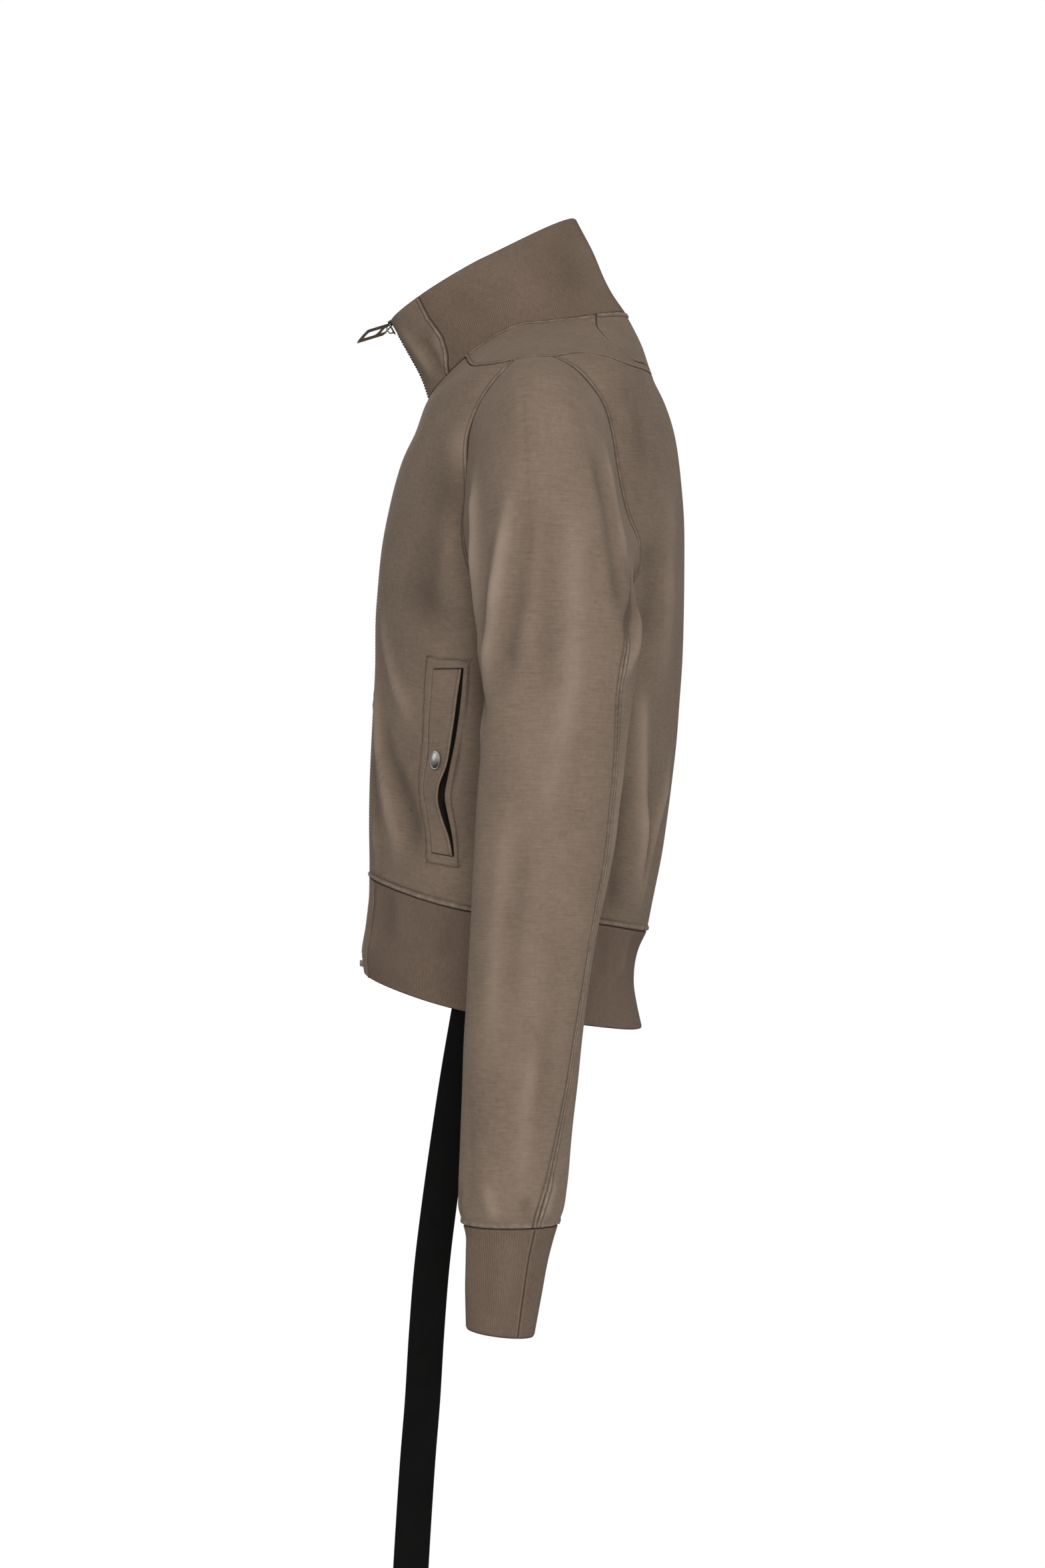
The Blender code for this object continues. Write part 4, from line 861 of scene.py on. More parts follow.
arm_loop = arm_line[:-1]
arm_points, arm_body = rings(TORSO, *arm_loop.T), outward(TORSO, *arm_loop.T)
run = np.r_[0, np.cumsum(np.linalg.norm(np.diff(np.vstack([arm_points, arm_points[:1]]), axis=0), axis=1))]
arm_angle = 360 * run[:-1] / run[-1]
along = np.roll(arm_points, -1, 0) - np.roll(arm_points, 1, 0)
along /= np.linalg.norm(along, axis=1, keepdims=True)
into_arm = np.cross(along, arm_body)
into_arm *= np.sign(np.sum(into_arm * (arm_points.mean(0) - arm_points), 1, keepdims=True))
ease = np.hanning(97)[1:-1] / np.hanning(97).sum()     # the seam's corners at the yoke are eased in the cap
into_arm = np.stack([np.convolve(np.pad(into_arm[:, k], 47, "wrap"), ease, "valid") for k in range(3)], -1)
into_arm /= np.linalg.norm(into_arm, axis=1, keepdims=True)


def sleeve_grid(rows_cap, rows_down):
    """Hermite lines from the armhole, starting outwards, to the first section; then the sections."""
    end = section(SLEEVE, SLEEVE[0][0], arm_angle)
    reach = np.linalg.norm(end - arm_points, axis=1, keepdims=True)
    start_pull = 0.95 * np.array([[1.0, 0, 0]]) + 0.30 * into_arm
    end_pull = np.array([[0.06, 0, -1.0]])
    t = np.linspace(0, 1, rows_cap + 1)[None, :, None]
    cap = ((2 * t**3 - 3 * t**2 + 1) * arm_points[:, None]
           + (t**3 - 2 * t**2 + t) * (reach * start_pull)[:, None]
           + (3 * t**2 - 2 * t**3) * end[:, None] + (t**3 - t**2) * (reach * end_pull)[:, None])
    heights = np.linspace(SLEEVE[0][0], SLEEVE[-1][0], rows_down + 1)[1:]
    tube = section(SLEEVE, heights[None, :] + 0 * arm_angle[:, None], arm_angle[:, None] + 0 * heights[None])
    return np.concatenate([cap, tube], 1)


def on_sleeve(way, count=200):
    """Close samples along a line on the sleeve, given in degrees and height in mm, each the mean of nine."""
    way = np.array(way, float)
    at = smooth(np.arange(len(way)), way, np.linspace(0, len(way) - 1, count))
    index = np.interp(at[:, 0] % 360, np.r_[arm_angle, 360], np.arange(len(arm_angle) + 1))
    low = np.floor(index).astype(int)
    both = [np.array([[np.interp(-z * MM, falls[k], base[k, :, axis]) for axis in (0, 1, 2)]
                      for k, z in zip(column % len(arm_angle), at[:, 1])]) for column in (low, low + 1)]
    line = both[0] + (index - low)[:, None] * (both[1] - both[0])
    mean = np.ones(9) / 9
    return np.stack([np.convolve(np.pad(line[:, k], 4, "edge"), mean, "valid") for k in range(3)], -1)


def unrolled(points, column):
    """Lengths in metres over a tube: round it along one of its rings, and down each line of points from
    its top. The first line comes again at the end, where the tube closes."""
    closed = np.vstack([points, points[:1]])
    round_it = np.linalg.norm(np.diff(closed, axis=0), axis=-1)[:, column]
    down_it = np.linalg.norm(np.diff(closed, axis=1), axis=-1)
    v = np.cumsum(np.c_[np.zeros(len(closed)), down_it], 1)
    return np.broadcast_to(np.cumsum(np.r_[0, round_it])[:, None], v.shape), v


base = sleeve_grid(8 * FINE, 15 * FINE)
falls = np.maximum.accumulate(-base[..., 2], 1)
base_normals = grid_normals(base, True)
base_normals *= np.sign(np.sum((base_normals * (base - base.mean(0)))[:, -1]))
beside_seam = (arm_angle > 203) & (arm_angle < 270)
turns = np.flatnonzero(beside_seam | (np.arange(28 * FINE) % 4 == 0))
drops = chosen(23, [0, 23], 3, 9)
points, normals = base[np.ix_(turns, drops)], base_normals[np.ix_(turns, drops)]
whole_arm = np.vstack([arm_points, arm_points[:1]])
cuff_ring = section(SLEEVE, SLEEVE[-1][0], np.linspace(0, 360, 500))
sleeve_seams = [(whole_arm, "edge"), (cuff_ring, "felled"), (on_sleeve(SLEEVE_SEAM, 700), "twin")]
u, v = unrolled(points, -20)
uv = np.stack([u, v - v[:, -1:]], -1)          # courses of the knit run level, counted up from the cuff
# painted light: the sleeves' copy of the jersey is a little paler than the body's
sleeve_lit_tones = {"deep": (102, 86, 74), "pale": (160, 141, 124)}
sleeve_jersey_lit = jersey_finish("sleeve_jersey_lit", sleeve_lit_tones)
for side, flip, _, _ in HALVES:
    rise = creases(points, SLEEVE_FOLDS, on_sleeve, SLEEVE_STRENGTH[side])
    lift, worn, sunk = weather(points, sleeve_seams, rise)
    outer = points + lift[..., None] * MM * normals
    inner = outer - CLOTH * normals
    sleeve = cut("sleeve_piece_" + side, outer[:, ::-1], inner[:, ::-1], sleeve_jersey_lit, None, True, flip,
                 worn[:, ::-1], sunk[:, ::-1], rise[:, ::-1], uv[:, ::-1])
    declare("sleeve_" + side)

# ---------------------------------------------------------------- cuffs
# Deep cuffs of the rib, folded double at the wrist and sewn to the gathered foot of the sleeve.
# columns as the sleeve's
CUFF = [(-708, 266.0, -9.2, 37.0, 36.2, 2.0), (-716, 266.2, -9.6, 34.5, 34.0, 2.0),
        (-731, 266.6, -11.6, 32.0, 31.8, 2.0), (-760, 267.3, -14.5, 31.0, 29.0, 2.0),
        (-790.5, 268.0, -17.0, 30.5, 26.0, 2.0)]
heights = np.interp(np.arange(0, 4 * FINE + 1) / FINE, np.arange(5), [row[0] for row in CUFF])
heights = heights[chosen(4, [0, 4], 3)]
angles = arm_angle[turns]
points = section(CUFF, heights[None] + 0 * angles[:, None], angles[:, None] + 0 * heights[None])
share = (heights[0] - heights) / (heights[0] - heights[-1])
points[..., 2] -= 3.0 * MM * share[None] * (points[..., 1] - points[..., 1].mean(0)) / (26 * MM)
normals = grid_normals(points, True)
normals *= np.sign(np.sum((normals * (points - points.mean(0)))[:, -1]))
cuff_seam = np.stack([section(CUFF, h, 211.0) for h in np.linspace(-708, -790.5, 120)])
CUFF_FOLDS = [
    (1.1, 7, [(112, -712), (110, -735), (112, -765)]),
    (-1.0, 8, [(150, -712), (152, -740), (150, -775)]),
    (1.0, 8, [(184, -712), (183, -740), (180, -770)]),
    (-1.0, 7, [(226, -712), (228, -740), (226, -770)]),
    (1.0, 8, [(300, -712), (300, -745)]),
    (-1.0, 8, [(40, -712), (42, -745)]),
]


def on_cuff(way):
    """Close samples along a line on the cuff, given in degrees and height in mm."""
    at = smooth(np.arange(len(way)), np.array(way, float), np.linspace(0, len(way) - 1, 120))
    return np.stack([section(CUFF, height, angle) for angle, height in at])


rise = creases(points, CUFF_FOLDS, on_cuff)
foot_ring = np.vstack([points[:, -1], points[:1, -1]])
lift, worn, sunk = weather(points, [(cuff_ring, "edge"), (foot_ring, "edge"), (cuff_seam, "fold")], rise)
outer = points + lift[..., None] * MM * normals
inner = points - RIB * normals
uv = np.stack(unrolled(points, 20), -1)
for side, flip, _, _ in HALVES:
    cuff = cut("rib_cuff_" + side, outer[:, ::-1], inner[:, ::-1], rib, None, True, flip,
               worn[:, ::-1], sunk[:, ::-1], rise[:, ::-1], uv[:, ::-1])
    declare("cuff_" + side)

# ---------------------------------------------------------------- pockets
# Each front has a slanting welt pocket: a folded jersey welt set in a window, a thin bag behind it,
# and a domed steel snap. The welt stands away from the body along its free edge.
WELT_FREE = [(66.6, 0.394), (66.1, 0.350), (65.5, 0.290), (63.7, 0.225), (61.2, 0.190),
             (60.8, 0.165), (62.6, 0.134), (65.3, 0.102), (66.4, 0.077)]
# the snap's cap: radius and height in mm, from the cloth to the middle of the dome
SNAP_PROFILE = [(0, 0), (6.4, 0), (7.2, 0.15), (7.55, 0.5), (7.5, 0.8), (7.15, 1.05), (6.7, 1.1), (6.35, 1.0),
                (6.0, 1.15), (5.2, 1.5), (4.2, 1.85), (3.0, 2.1), (1.6, 2.28), (0.5, 2.35), (0, 2.36)]
WELT_LENGTH = 156                          # mm
PER_DEGREE, PER_HEIGHT = 0.003, 0.49       # metres of cloth to a degree round, and to a share of 1 up
front_turn, at = window_front.T
free_turn = window_edge(WELT_FREE)[:, 0]
share = np.r_[0, 0.02, 0.05, np.linspace(0.09, 0.91, 22), 0.95, 0.98, 1.0]
welt = np.stack([front_turn[None] + share[:, None] * (free_turn - front_turn)[None],
                 np.broadcast_to(at, (len(share), len(at)))], -1)
points, normals = rings(TORSO, *np.moveaxis(welt, -1, 0)), outward(TORSO, *np.moveaxis(welt, -1, 0))
swell = np.sin(np.pi * (at - at[0]) / (at[-1] - at[0]))
proud = 0.5 + 6.5 * share[:, None] ** 1.4 * swell[None]
middle = 0.5 * (points[len(share) // 3, 4 * FINE] + points[2 * len(share) // 3, 4 * FINE])
from_snap = np.linalg.norm(points - middle, axis=-1) / MM
proud = proud - 1.0 * np.exp(-(from_snap / 11) ** 2) * np.clip(share[:, None] * 3, 0, 1)
width = np.linalg.norm(points[-1] - points[0], axis=-1)[None] / MM
from_side = np.minimum(share[:, None], 1 - share[:, None]) * width
from_end = np.minimum(at - at[0], at[-1] - at)[None] / (at[-1] - at[0]) * WELT_LENGTH
to_free = np.clip(np.minimum((1 - share[:, None]) * width, 1.2) / 1.2, 0, 1)
roll = 0.85 * (1 - np.sqrt(1 - (1 - to_free) ** 2))          # the folded edge turns in
stitched = 0.55 * np.exp(-((from_side - 2.6) / 0.6) ** 2) * (share[:, None] > 0.5)
sink = stitched + 0.5 * np.exp(-(np.minimum(share[:, None] * width, from_end) / 0.8) ** 2)
outer = points + (proud - roll - 0.4 * sink)[..., None] * MM * normals
inner = points + (proud - 2.2 + 0.7 * roll)[..., None] * MM * normals
u = np.broadcast_to(share[:, None] * 0.02, share.shape + at.shape)
uv = np.stack([u, np.broadcast_to(at[None] * PER_HEIGHT, u.shape)], -1)
welt_face = outer
for side, flip, _, _ in HALVES:
    # the welt's sunk layer, taken from sink, darkens its stitched line and sewn edges as painted shade
    piece = cut("pocket_welt_" + side, outer, inner, facing_jersey, None, False, flip,
                0.5 * np.exp(-((from_side - 0.7) / 0.8) ** 2), np.clip(sink * 0.9, 0, 1), 0 * sink, uv)
    declare("welt_" + side)


def pocketing_finish():
    """Thin plain-woven pocket cloth, coloured dark as painted shade inside the pocket."""
    f = Finish("pocket_cloth_painted_shade", Roughness=0.95, Specular_IOR_Level=0.1)
    weave = f.noise(1100.0, 2.0)
    return f.wear(Base_Color=f.tone(linear(34, 28, 24), linear(52, 44, 38), weave),
                  Normal=f.bump(weave, 0.2 * MM, 0.5))


pocketing = pocketing_finish()
turn, up = np.meshgrid(np.linspace(44, 76, 43), np.linspace(0.045, 0.425, 65), indexing="ij")
points, normals = rings(TORSO, turn, up), outward(TORSO, turn, up)
s, t = np.linspace(0, 1, 43)[:, None], np.linspace(0, 1, 65)[None]
bulge = np.sin(np.pi * s) * np.sin(np.pi * t)
depth = 5.4 + (8.6 + 0.35 * np.sin(9 * s + 5 * t)) * bulge          # mm behind the front
outer = points - depth[..., None] * MM * normals
for side, flip, _, _ in HALVES:
    sack = cut("pocket_sack_" + side, outer, outer - 1.0 * MM * normals, pocketing, None, False, flip,
               uv=np.stack([turn * PER_DEGREE, up * PER_HEIGHT], -1))
    declare("pocket_bag_" + side)


def steel_finish(name, rough, tone):
    """Polished nickel: fine brushing and small scuffs in the roughness."""
    f = Finish(name, Metallic=1.0)
    scuff = f.noise(1500.0, 3.0)
    return f.wear(Base_Color=f.tone(linear(*[c * 0.82 for c in tone]), linear(*tone), scuff),
                  Roughness=rough + scuff * 0.14, Normal=f.bump(scuff, 0.03 * MM, 0.4))


steel = steel_finish("polished_steel", 0.16, (206, 202, 197))
# painted shade: the slider takes the same polished steel in a dark tone
painted_shade_steel = steel_finish("slider_steel", 0.22, (84, 80, 76))


def solid_mesh(name, verts, faces, finish, solid=None, sharp=40):
    """A closed hard piece from whole arrays of points and faces. A metal one may replace a solid."""
    mesh = bpy.data.meshes.new(name)
    mesh.from_pydata(np.asarray(verts).tolist(), [], [list(face) for face in faces])
    mesh.polygons.foreach_set("use_smooth", np.ones(len(mesh.polygons), bool))
    mesh.set_sharp_from_angle(angle=math.radians(sharp))
    mesh.update()
    ob = bpy.data.objects.new(name, mesh)
    bpy.context.collection.objects.link(ob)
    mesh.materials.append(finish)
    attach(ob, "jacket")
    if solid:
        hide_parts(solid)
    return ob


def tube_faces(rows, around, offset=0):
    """Quads of a closed tube of rings, with a fan of one point at each end (the last two points)."""
    k, r = np.arange(around), np.arange(rows - 1)[:, None] * around
    n = (k + 1) % around
    quads = np.stack([r + k, r + n, r + n + around, r + k + around], -1).reshape(-1, 4) + offset
    low, high = rows * around + offset, rows * around + 1 + offset
    last = (rows - 1) * around + offset
    fans = np.concatenate([np.stack([np.full(around, low), n + offset, k + offset], -1),
                           np.stack([np.full(around, high), last + k, last + n], -1)])
    return quads.tolist() + fans.tolist()


def turned(profile, base, axis, around=48):
    """Solid of revolution about an axis: profile rows are radius and height in mm."""
    side = np.cross(axis, [0, 0, 1.0])
    side /= np.linalg.norm(side)
    other = np.cross(axis, side)
    a = np.linspace(0, 2 * np.pi, around, endpoint=False)[None, :, None]
    rows = np.array(profile[1:-1], float)
    r, h = rows[:, 0, None, None], rows[:, 1, None, None]
    verts = base + MM * (h * axis + r * (np.cos(a) * side + np.sin(a) * other))
    ends = [base + MM * profile[0][1] * axis, base + MM * profile[-1][1] * axis]
    return np.concatenate([verts.reshape(-1, 3), ends]), tube_faces(len(rows), around)


# the snap sits in the middle of the welt and leans with it
lean = np.cross(welt_face[17, 4 * FINE] - welt_face[7, 4 * FINE],
                welt_face[12, 5 * FINE] - welt_face[12, 3 * FINE])
lean = lean / np.linalg.norm(lean) + [0, -0.2, 0]
lean /= np.linalg.norm(lean)
seat = welt_face[12, 4 * FINE] + 0.6 * MM * lean
verts, faces = turned(SNAP_PROFILE, seat, lean)
solid_mesh("pocket_snap_left", verts, faces, steel, "snap_left", 30)
solid_mesh("pocket_snap_right", verts * [-1, 1, 1], [face[::-1] for face in faces], steel, "snap_right", 30)

# ---------------------------------------------------------------- zip
# A metal zip from the collar's top to the band: two woven tapes behind the front edges, teeth
# clamped on their beads, a slider parked at the top with its slotted pull tab, a retainer box below.
def tape_finish():
    """Woven polyester tape: a fine herringbone along its length."""
    f = Finish("zip_tape_weave", Roughness=0.85, Specular_IOR_Level=0.2)
    x, y = f.part(f.stretched(3900.0, 1.0), 0), f.part(f.stretched(1.0, 3900.0), 1)
    yarns = x.math("SINE", x + y.math("ABSOLUTE", y.math("SINE", y * 0.35)) * 2.0)
    return f.wear(Base_Color=f.tone(linear(78, 64, 54), linear(104, 88, 76), yarns * 0.4 + 0.5),
                  Normal=f.bump(yarns, 0.12 * MM, 0.7))


tape = tape_finish()
ACROSS = np.array([1.0, 0, 0])
ZIP_ROWS = ([(COLLAR, s) for s in np.linspace(0.955, 0.0, 60)]
            + [(TORSO, s) for s in np.linspace(0.975, 0.0, 150)]
            + [(BAND, s) for s in np.linspace(0.93, 0.18, 40)])
# the tape, in mm: how far from the centre, and how far out from the front's surface
TAPE_COLUMNS = [(1.2, -0.2), (2.0, -0.4), (3.4, -1.4), (5.0, -3.3), (8.0, -3.3), (11.0, -3.3), (14.0, -3.3)]


def zip_place(form, up, x):
    """Point on the form x mm from the centre plane, and its normal in that plane."""
    turn = edge_turn(form, up, x * MM)
    n = outward(form, turn, up) * [0, 1, 1]
    return rings(form, turn, up), n / np.linalg.norm(n)


grid = [[zip_place(form, up, x) for form, up in ZIP_ROWS] for x, _ in TAPE_COLUMNS]
place, facing = (np.array([[cell[k] for cell in row] for row in grid]) for k in (0, 1))
drop = np.array([lift for _, lift in TAPE_COLUMNS])[:, None, None]
outer, inner = place + drop * MM * facing, place + (drop - 1.0) * MM * facing
u = np.cumsum(np.r_[0, np.diff([x for x, _ in TAPE_COLUMNS])])[:, None] * MM
v = np.r_[0, np.cumsum(np.linalg.norm(np.diff(place[0], axis=0), axis=1))][None]
uv = np.stack(np.broadcast_arrays(u, v), -1)
for side, flip, _, _ in HALVES:
    strip = cut("zip_tape_strip_" + side, outer[:, ::-1], inner[:, ::-1], tape, None, False, flip,
                uv=uv[:, ::-1])
    declare("zip_tape_" + side)

# Each tooth is a bead of four rings with rounded corners. Along the body the row sits 1.3 mm deeper
# than on the collar and the band.
TEETH_PITCH = 2.4                    # mm between teeth of one side
TOOTH = (2.3, 0.62, 0.95)            # half width, half height and half depth in mm
centre = np.array([zip_place(form, up, 0.05)[0] for form, up in ZIP_ROWS])
facing = np.array([zip_place(form, up, 0.05)[1] for form, up in ZIP_ROWS])
stands = np.array([0.35 if form is not TORSO else 0.35 - 1.3 * min(1, 14 * min(up, 1 - up))
                   for form, up in ZIP_ROWS])
run = np.r_[0, np.cumsum(np.linalg.norm(np.diff(centre, axis=0), axis=1))] / MM
tooth_a = np.linspace(0, 2 * np.pi, 8, endpoint=False)
tooth_b = np.radians([-52, -14, 14, 52])
ring_x = np.cos(tooth_b)[:, None] * np.sign(np.cos(tooth_a)) * np.abs(np.cos(tooth_a)) ** 0.6
ring_o = np.cos(tooth_b)[:, None] * np.sign(np.sin(tooth_a)) * np.abs(np.sin(tooth_a)) ** 0.6
ring_d = np.broadcast_to(np.sin(tooth_b)[:, None], ring_x.shape)
unit = np.concatenate([np.stack([ring_x, ring_d, ring_o], -1).reshape(-1, 3), [[0, -1, 0], [0, 1, 0]]])
for name, sign, shift in (("left", 1, 0.0), ("right", -1, TEETH_PITCH / 2)):
    at = np.arange(10.0 + shift, run[-1] - 3, TEETH_PITCH)
    spot, out = (np.stack([np.interp(at, run, a[:, k]) for k in range(3)], -1) for a in (centre, facing))
    out /= np.linalg.norm(out, axis=1, keepdims=True)
    down = np.cross(out, ACROSS)
    lift = np.interp(at, run, stands)
    middle = spot + MM * (sign * 1.1 * ACROSS + (lift - 0.2)[:, None] * out)
    verts = middle[:, None] + MM * (unit[None, :, :1] * TOOTH[0] * ACROSS
                                    + unit[None, :, 1:2] * TOOTH[1] * down[:, None]
                                    + unit[None, :, 2:] * TOOTH[2] * out[:, None])
    faces = [face for k in range(len(at)) for face in tube_faces(4, 8, k * len(unit))]
    teeth = solid_mesh("zip_teeth_" + name, verts.reshape(-1, 3), faces, steel, sharp=50)

# The slider is two plates on a post, with a bail over the front one. Each is a row of stations: how far
# down the zip, how far out, half width and half thickness in mm.
top, low = rings(COLLAR, 0, 1.0), rings(COLLAR, 0, 0.8)
down = (low - top) / np.linalg.norm(low - top)
out = np.array([0, down[2], -down[1]])
hinge = top + MM * (4.6 * down + 4.1 * out)


def pill(place, stations, around=20, power=0.5):
    """Rounded bar in a place, which is a point and the directions down and out: at each station a
    superellipse in x and the in-plane normal of the path, closed by a point at each end."""
    top, down, out = place
    rows = np.array(stations, float)
    way = np.gradient(rows[:, :2], axis=0)
    way /= np.linalg.norm(way, axis=1, keepdims=True)
    a = np.linspace(0, 2 * np.pi, around, endpoint=False)
    cx = np.sign(np.cos(a)) * np.abs(np.cos(a)) ** power
    cy = np.sign(np.sin(a)) * np.abs(np.sin(a)) ** power
    x = rows[:, 2:3] * cx
    d = rows[:, 0:1] - way[:, 1:2] * rows[:, 3:4] * cy
    o = rows[:, 1:2] + way[:, 0:1] * rows[:, 3:4] * cy
    verts = top + MM * (x[..., None] * ACROSS + d[..., None] * down + o[..., None] * out)
    ends = [top + MM * (r[0] * down + r[1] * out) for r in (rows[0], rows[-1])]
    return np.concatenate([verts.reshape(-1, 3), ends]), tube_faces(len(rows), around)


slide = np.linspace(0, 1, 17)
shoulder = 4.6 - 1.5 * np.clip((slide - 0.35) / 0.65, 0, 1) ** 1.3
rounding = np.sqrt(np.clip(1 - np.abs(2 * slide - 1) ** 7, 0.02, 1))
front_plate = [(-1.0 + 13.0 * s, 2.15, w * r, 0.85 * r) for s, w, r in zip(slide, shoulder, rounding)]
back_plate = [(-1.0 + 13.0 * s, -5.35, w * r, 0.65 * r) for s, w, r in zip(slide, shoulder, rounding)]
post = [(0.3, o, 3.2, 1.1) for o in np.linspace(-5.2, 1.9, 8)]
bail = [(2.2, 2.2, 0.9, 0.65), (2.2, 3.8, 0.9, 0.65), (2.6, 4.9, 0.95, 0.68), (3.6, 5.7, 1.0, 0.7),
        (5.6, 6.0, 1.1, 0.7), (7.6, 5.7, 1.0, 0.7), (8.7, 4.9, 0.95, 0.68), (9.1, 3.8, 0.9, 0.65),
        (9.1, 2.2, 0.9, 0.65)]
verts, faces = np.zeros((0, 3)), []
for stations in (front_plate, back_plate, post, bail):
    more, its_faces = pill((top, down, out), stations)
    faces += [[i + len(verts) for i in face] for face in its_faces]
    verts = np.concatenate([verts, more])
solid_mesh("zip_slider_body", verts, faces, painted_shade_steel, "zip_slider")

# The pull tab is a flat bar with two slots. It runs forward from the hinge down a slope, and its
# thickness is rolled on the bail. Known fault: its width should run along `rolled`, but a mm of half
# width moves a point by PULL_SHEAR along x, y and z alike, so the tab is broader than its solid and
# slanted. Its tip is rounded over the last 1.55 mm, and it narrows by a quarter at the bail.
PULL_SLOPE, PULL_ROLL, PULL_SHEAR = math.radians(17), math.radians(42), 1.6
PULL_HALF, SLOT_HALF = 3.0, 1.6                        # mm, before the shear
PULL_SLOTS = ((0.5, 5.6, 0.9), (8.5, 20.5, 1.5))       # start, end and length of the rounded ends, mm
PULL_STEPS = ((-0.5, 0.5, 5), (0.5, 1.6, 6), (1.6, 4.5, 5), (4.5, 5.6, 6), (5.6, 8.5, 5), (8.5, 10, 7),
              (10, 19, 8), (19, 20.5, 7), (20.5, 24.0, 9))          # from, to and count of cross lines
forward = np.array([0, -math.cos(PULL_SLOPE), -math.sin(PULL_SLOPE)])
rolled = math.cos(PULL_ROLL) * ACROSS + math.sin(PULL_ROLL) * np.cross(ACROSS, forward)
thick = np.cross(rolled, forward)
r = np.unique(np.concatenate([np.linspace(*step) for step in PULL_STEPS]))
tip = np.sqrt(np.clip(1 - np.clip((r - 22.6) / 1.55, 0, 1) ** 2, 0.05, 1))
tab_half = PULL_HALF * tip * (1 - 0.25 * np.clip((0.6 - r) / 1.1, 0, 1))
hole = np.full(len(r), 0.5)
for start, end, ease in PULL_SLOTS:
    inside = (r >= start - 1e-9) & (r <= end + 1e-9)
    from_end = np.clip(np.minimum(r - start, end - r) / ease, 0, 1)
    hole = np.where(inside, SLOT_HALF * np.sqrt(np.clip(1 - (1 - from_end) ** 2, 0.06, 1)), hole)
x = np.stack([-tab_half, -(tab_half + hole) / 2, -hole, 0 * hole, hole, (tab_half + hole) / 2, tab_half])
grid = hinge + MM * (x[..., None] * PULL_SHEAR + r[None, :, None] * forward)
mid = 0.5 * (r[:-1] + r[1:])
keep = np.ones((6, len(r) - 1), bool)
for start, end, _ in PULL_SLOTS:
    keep[2:4, (mid > start) & (mid < end)] = False
pull = cut("zip_pull_tab", grid - thick * 0.5 * MM, grid + thick * 0.5 * MM, steel, keep, gap=0.02 * MM)
bevel = pull.modifiers.new("rounded_edges", "BEVEL")
bevel.width, bevel.segments, bevel.angle_limit = 0.22 * MM, 2, math.radians(50)
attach(pull, "zip_pull_tab")
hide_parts("zip_pull")

# The retainer box closes the foot of the zip.
foot, above = rings(BAND, 0, 0.16), rings(BAND, 0, 0.26)
down = (foot - above) / np.linalg.norm(foot - above)
out = np.array([0, down[2], -down[1]])
s = np.linspace(0, 1, 13)
rounding = np.sqrt(np.clip(1 - np.abs(2 * s - 1) ** 8, 0.03, 1))
retainer = [(7.0 * a, -0.6, 3.6 * b, 2.6 * b) for a, b in zip(s, rounding)]
solid_mesh("zip_retainer", *pill((foot, down, out), retainer, 24, 0.4), steel, "zip_box")

# ---------------------------------------------------------------- hanging tape
# One flat black woven tape is sewn inside the band at the wearer's left and hangs straight down,
# swinging slightly forward. Its end is folded and sewn off.
# height, y of its middle and x, in mm; the first row is where it comes out of the band
STRAP = [(-566, -44.9, 141.0), (-598, -50.2, 140.5), (-650, -58.1, 140.0), (-703, -65.5, 140.0),
         (-756, -71.9, 140.0), (-809, -76.1, 140.0), (-862, -79.3, 140.0), (-915, -83.5, 140.0),
         (-989, -88.2, 140.0), (-1045, -91.0, 140.0)]
STRAP_HALF, STRAP_THICK = 14.2, 1.2        # mm
FOLDED = 34                                # rows at the end that the fold lies behind


def strap_finish():
    """Black matt webbing: small upright chevrons of yarn, dusty at the high points."""
    f = Finish("black_webbing", Roughness=0.88, Specular_IOR_Level=0.12)
    x, y = f.part(f.stretched(4200.0, 1.0), 0), f.part(f.stretched(1.0, 3600.0), 1)
    slant = x.math("PINGPONG", x, 6.283)
    weave = x.math("SINE", y + slant * 1.0)
    dust = f.noise(60.0, 3.0)
    tint = (weave * 0.28 + 0.35 + (dust - 0.5) * 0.5).clamp()
    return f.wear(Base_Color=f.tone(linear(9, 9, 9), linear(24, 23, 22), tint),
                  Normal=f.bump(weave, 0.18 * MM, 0.8))


webbing = strap_finish()
edges = (STRAP_HALF, 0, -STRAP_HALF)
round_band = np.linspace(20, 120, 401)
strap_rows = []
for up in (0.52, 0.36, 0.20, 0.07):
    y = STRAP[0][1] + 0.16 * (rings(BAND, 90, up)[2] / MM - STRAP[0][0])
    held = [float(np.interp(y + s, rings(BAND, round_band, up)[:, 1] / MM, round_band)) for s in edges]
    strap_rows.append(rings(BAND, held, up) - (RIB + 0.9 * MM) * outward(BAND, held, up))
for z, y, x in STRAP[1:]:
    strap_rows.append(MM * np.array([(x, y + s, z) for s in edges]))
strap_rows = np.array(strap_rows)
knots = np.arange(len(strap_rows))
fine_rows = smooth(knots, strap_rows.reshape(len(knots), -1), np.linspace(0, knots[-1], 240))
fine_rows = fine_rows.reshape(240, 3, 3)
s = np.r_[-1, -0.97, -0.92, np.linspace(-0.84, 0.84, 13), 0.92, 0.97, 1]
mid, half = fine_rows[:, 1], 0.5 * (fine_rows[:, 0] - fine_rows[:, 2])
bow = fine_rows[:, 1] - 0.5 * (fine_rows[:, 0] + fine_rows[:, 2])
centre = mid[None] - s[:, None, None] * half[None] - bow[None] * (s**2)[:, None, None]
out = np.cross(np.gradient(centre, axis=0), np.gradient(centre, axis=1))
out /= np.linalg.norm(out, axis=-1, keepdims=True)
out *= np.sign(out[..., :1].mean())
thin = STRAP_THICK * (1 - 0.55 * np.clip((np.abs(s) - 0.9) / 0.1, 0, 1) ** 2)[:, None, None]
inner = centre - STRAP_THICK * MM * out
outer = inner + thin * MM * out
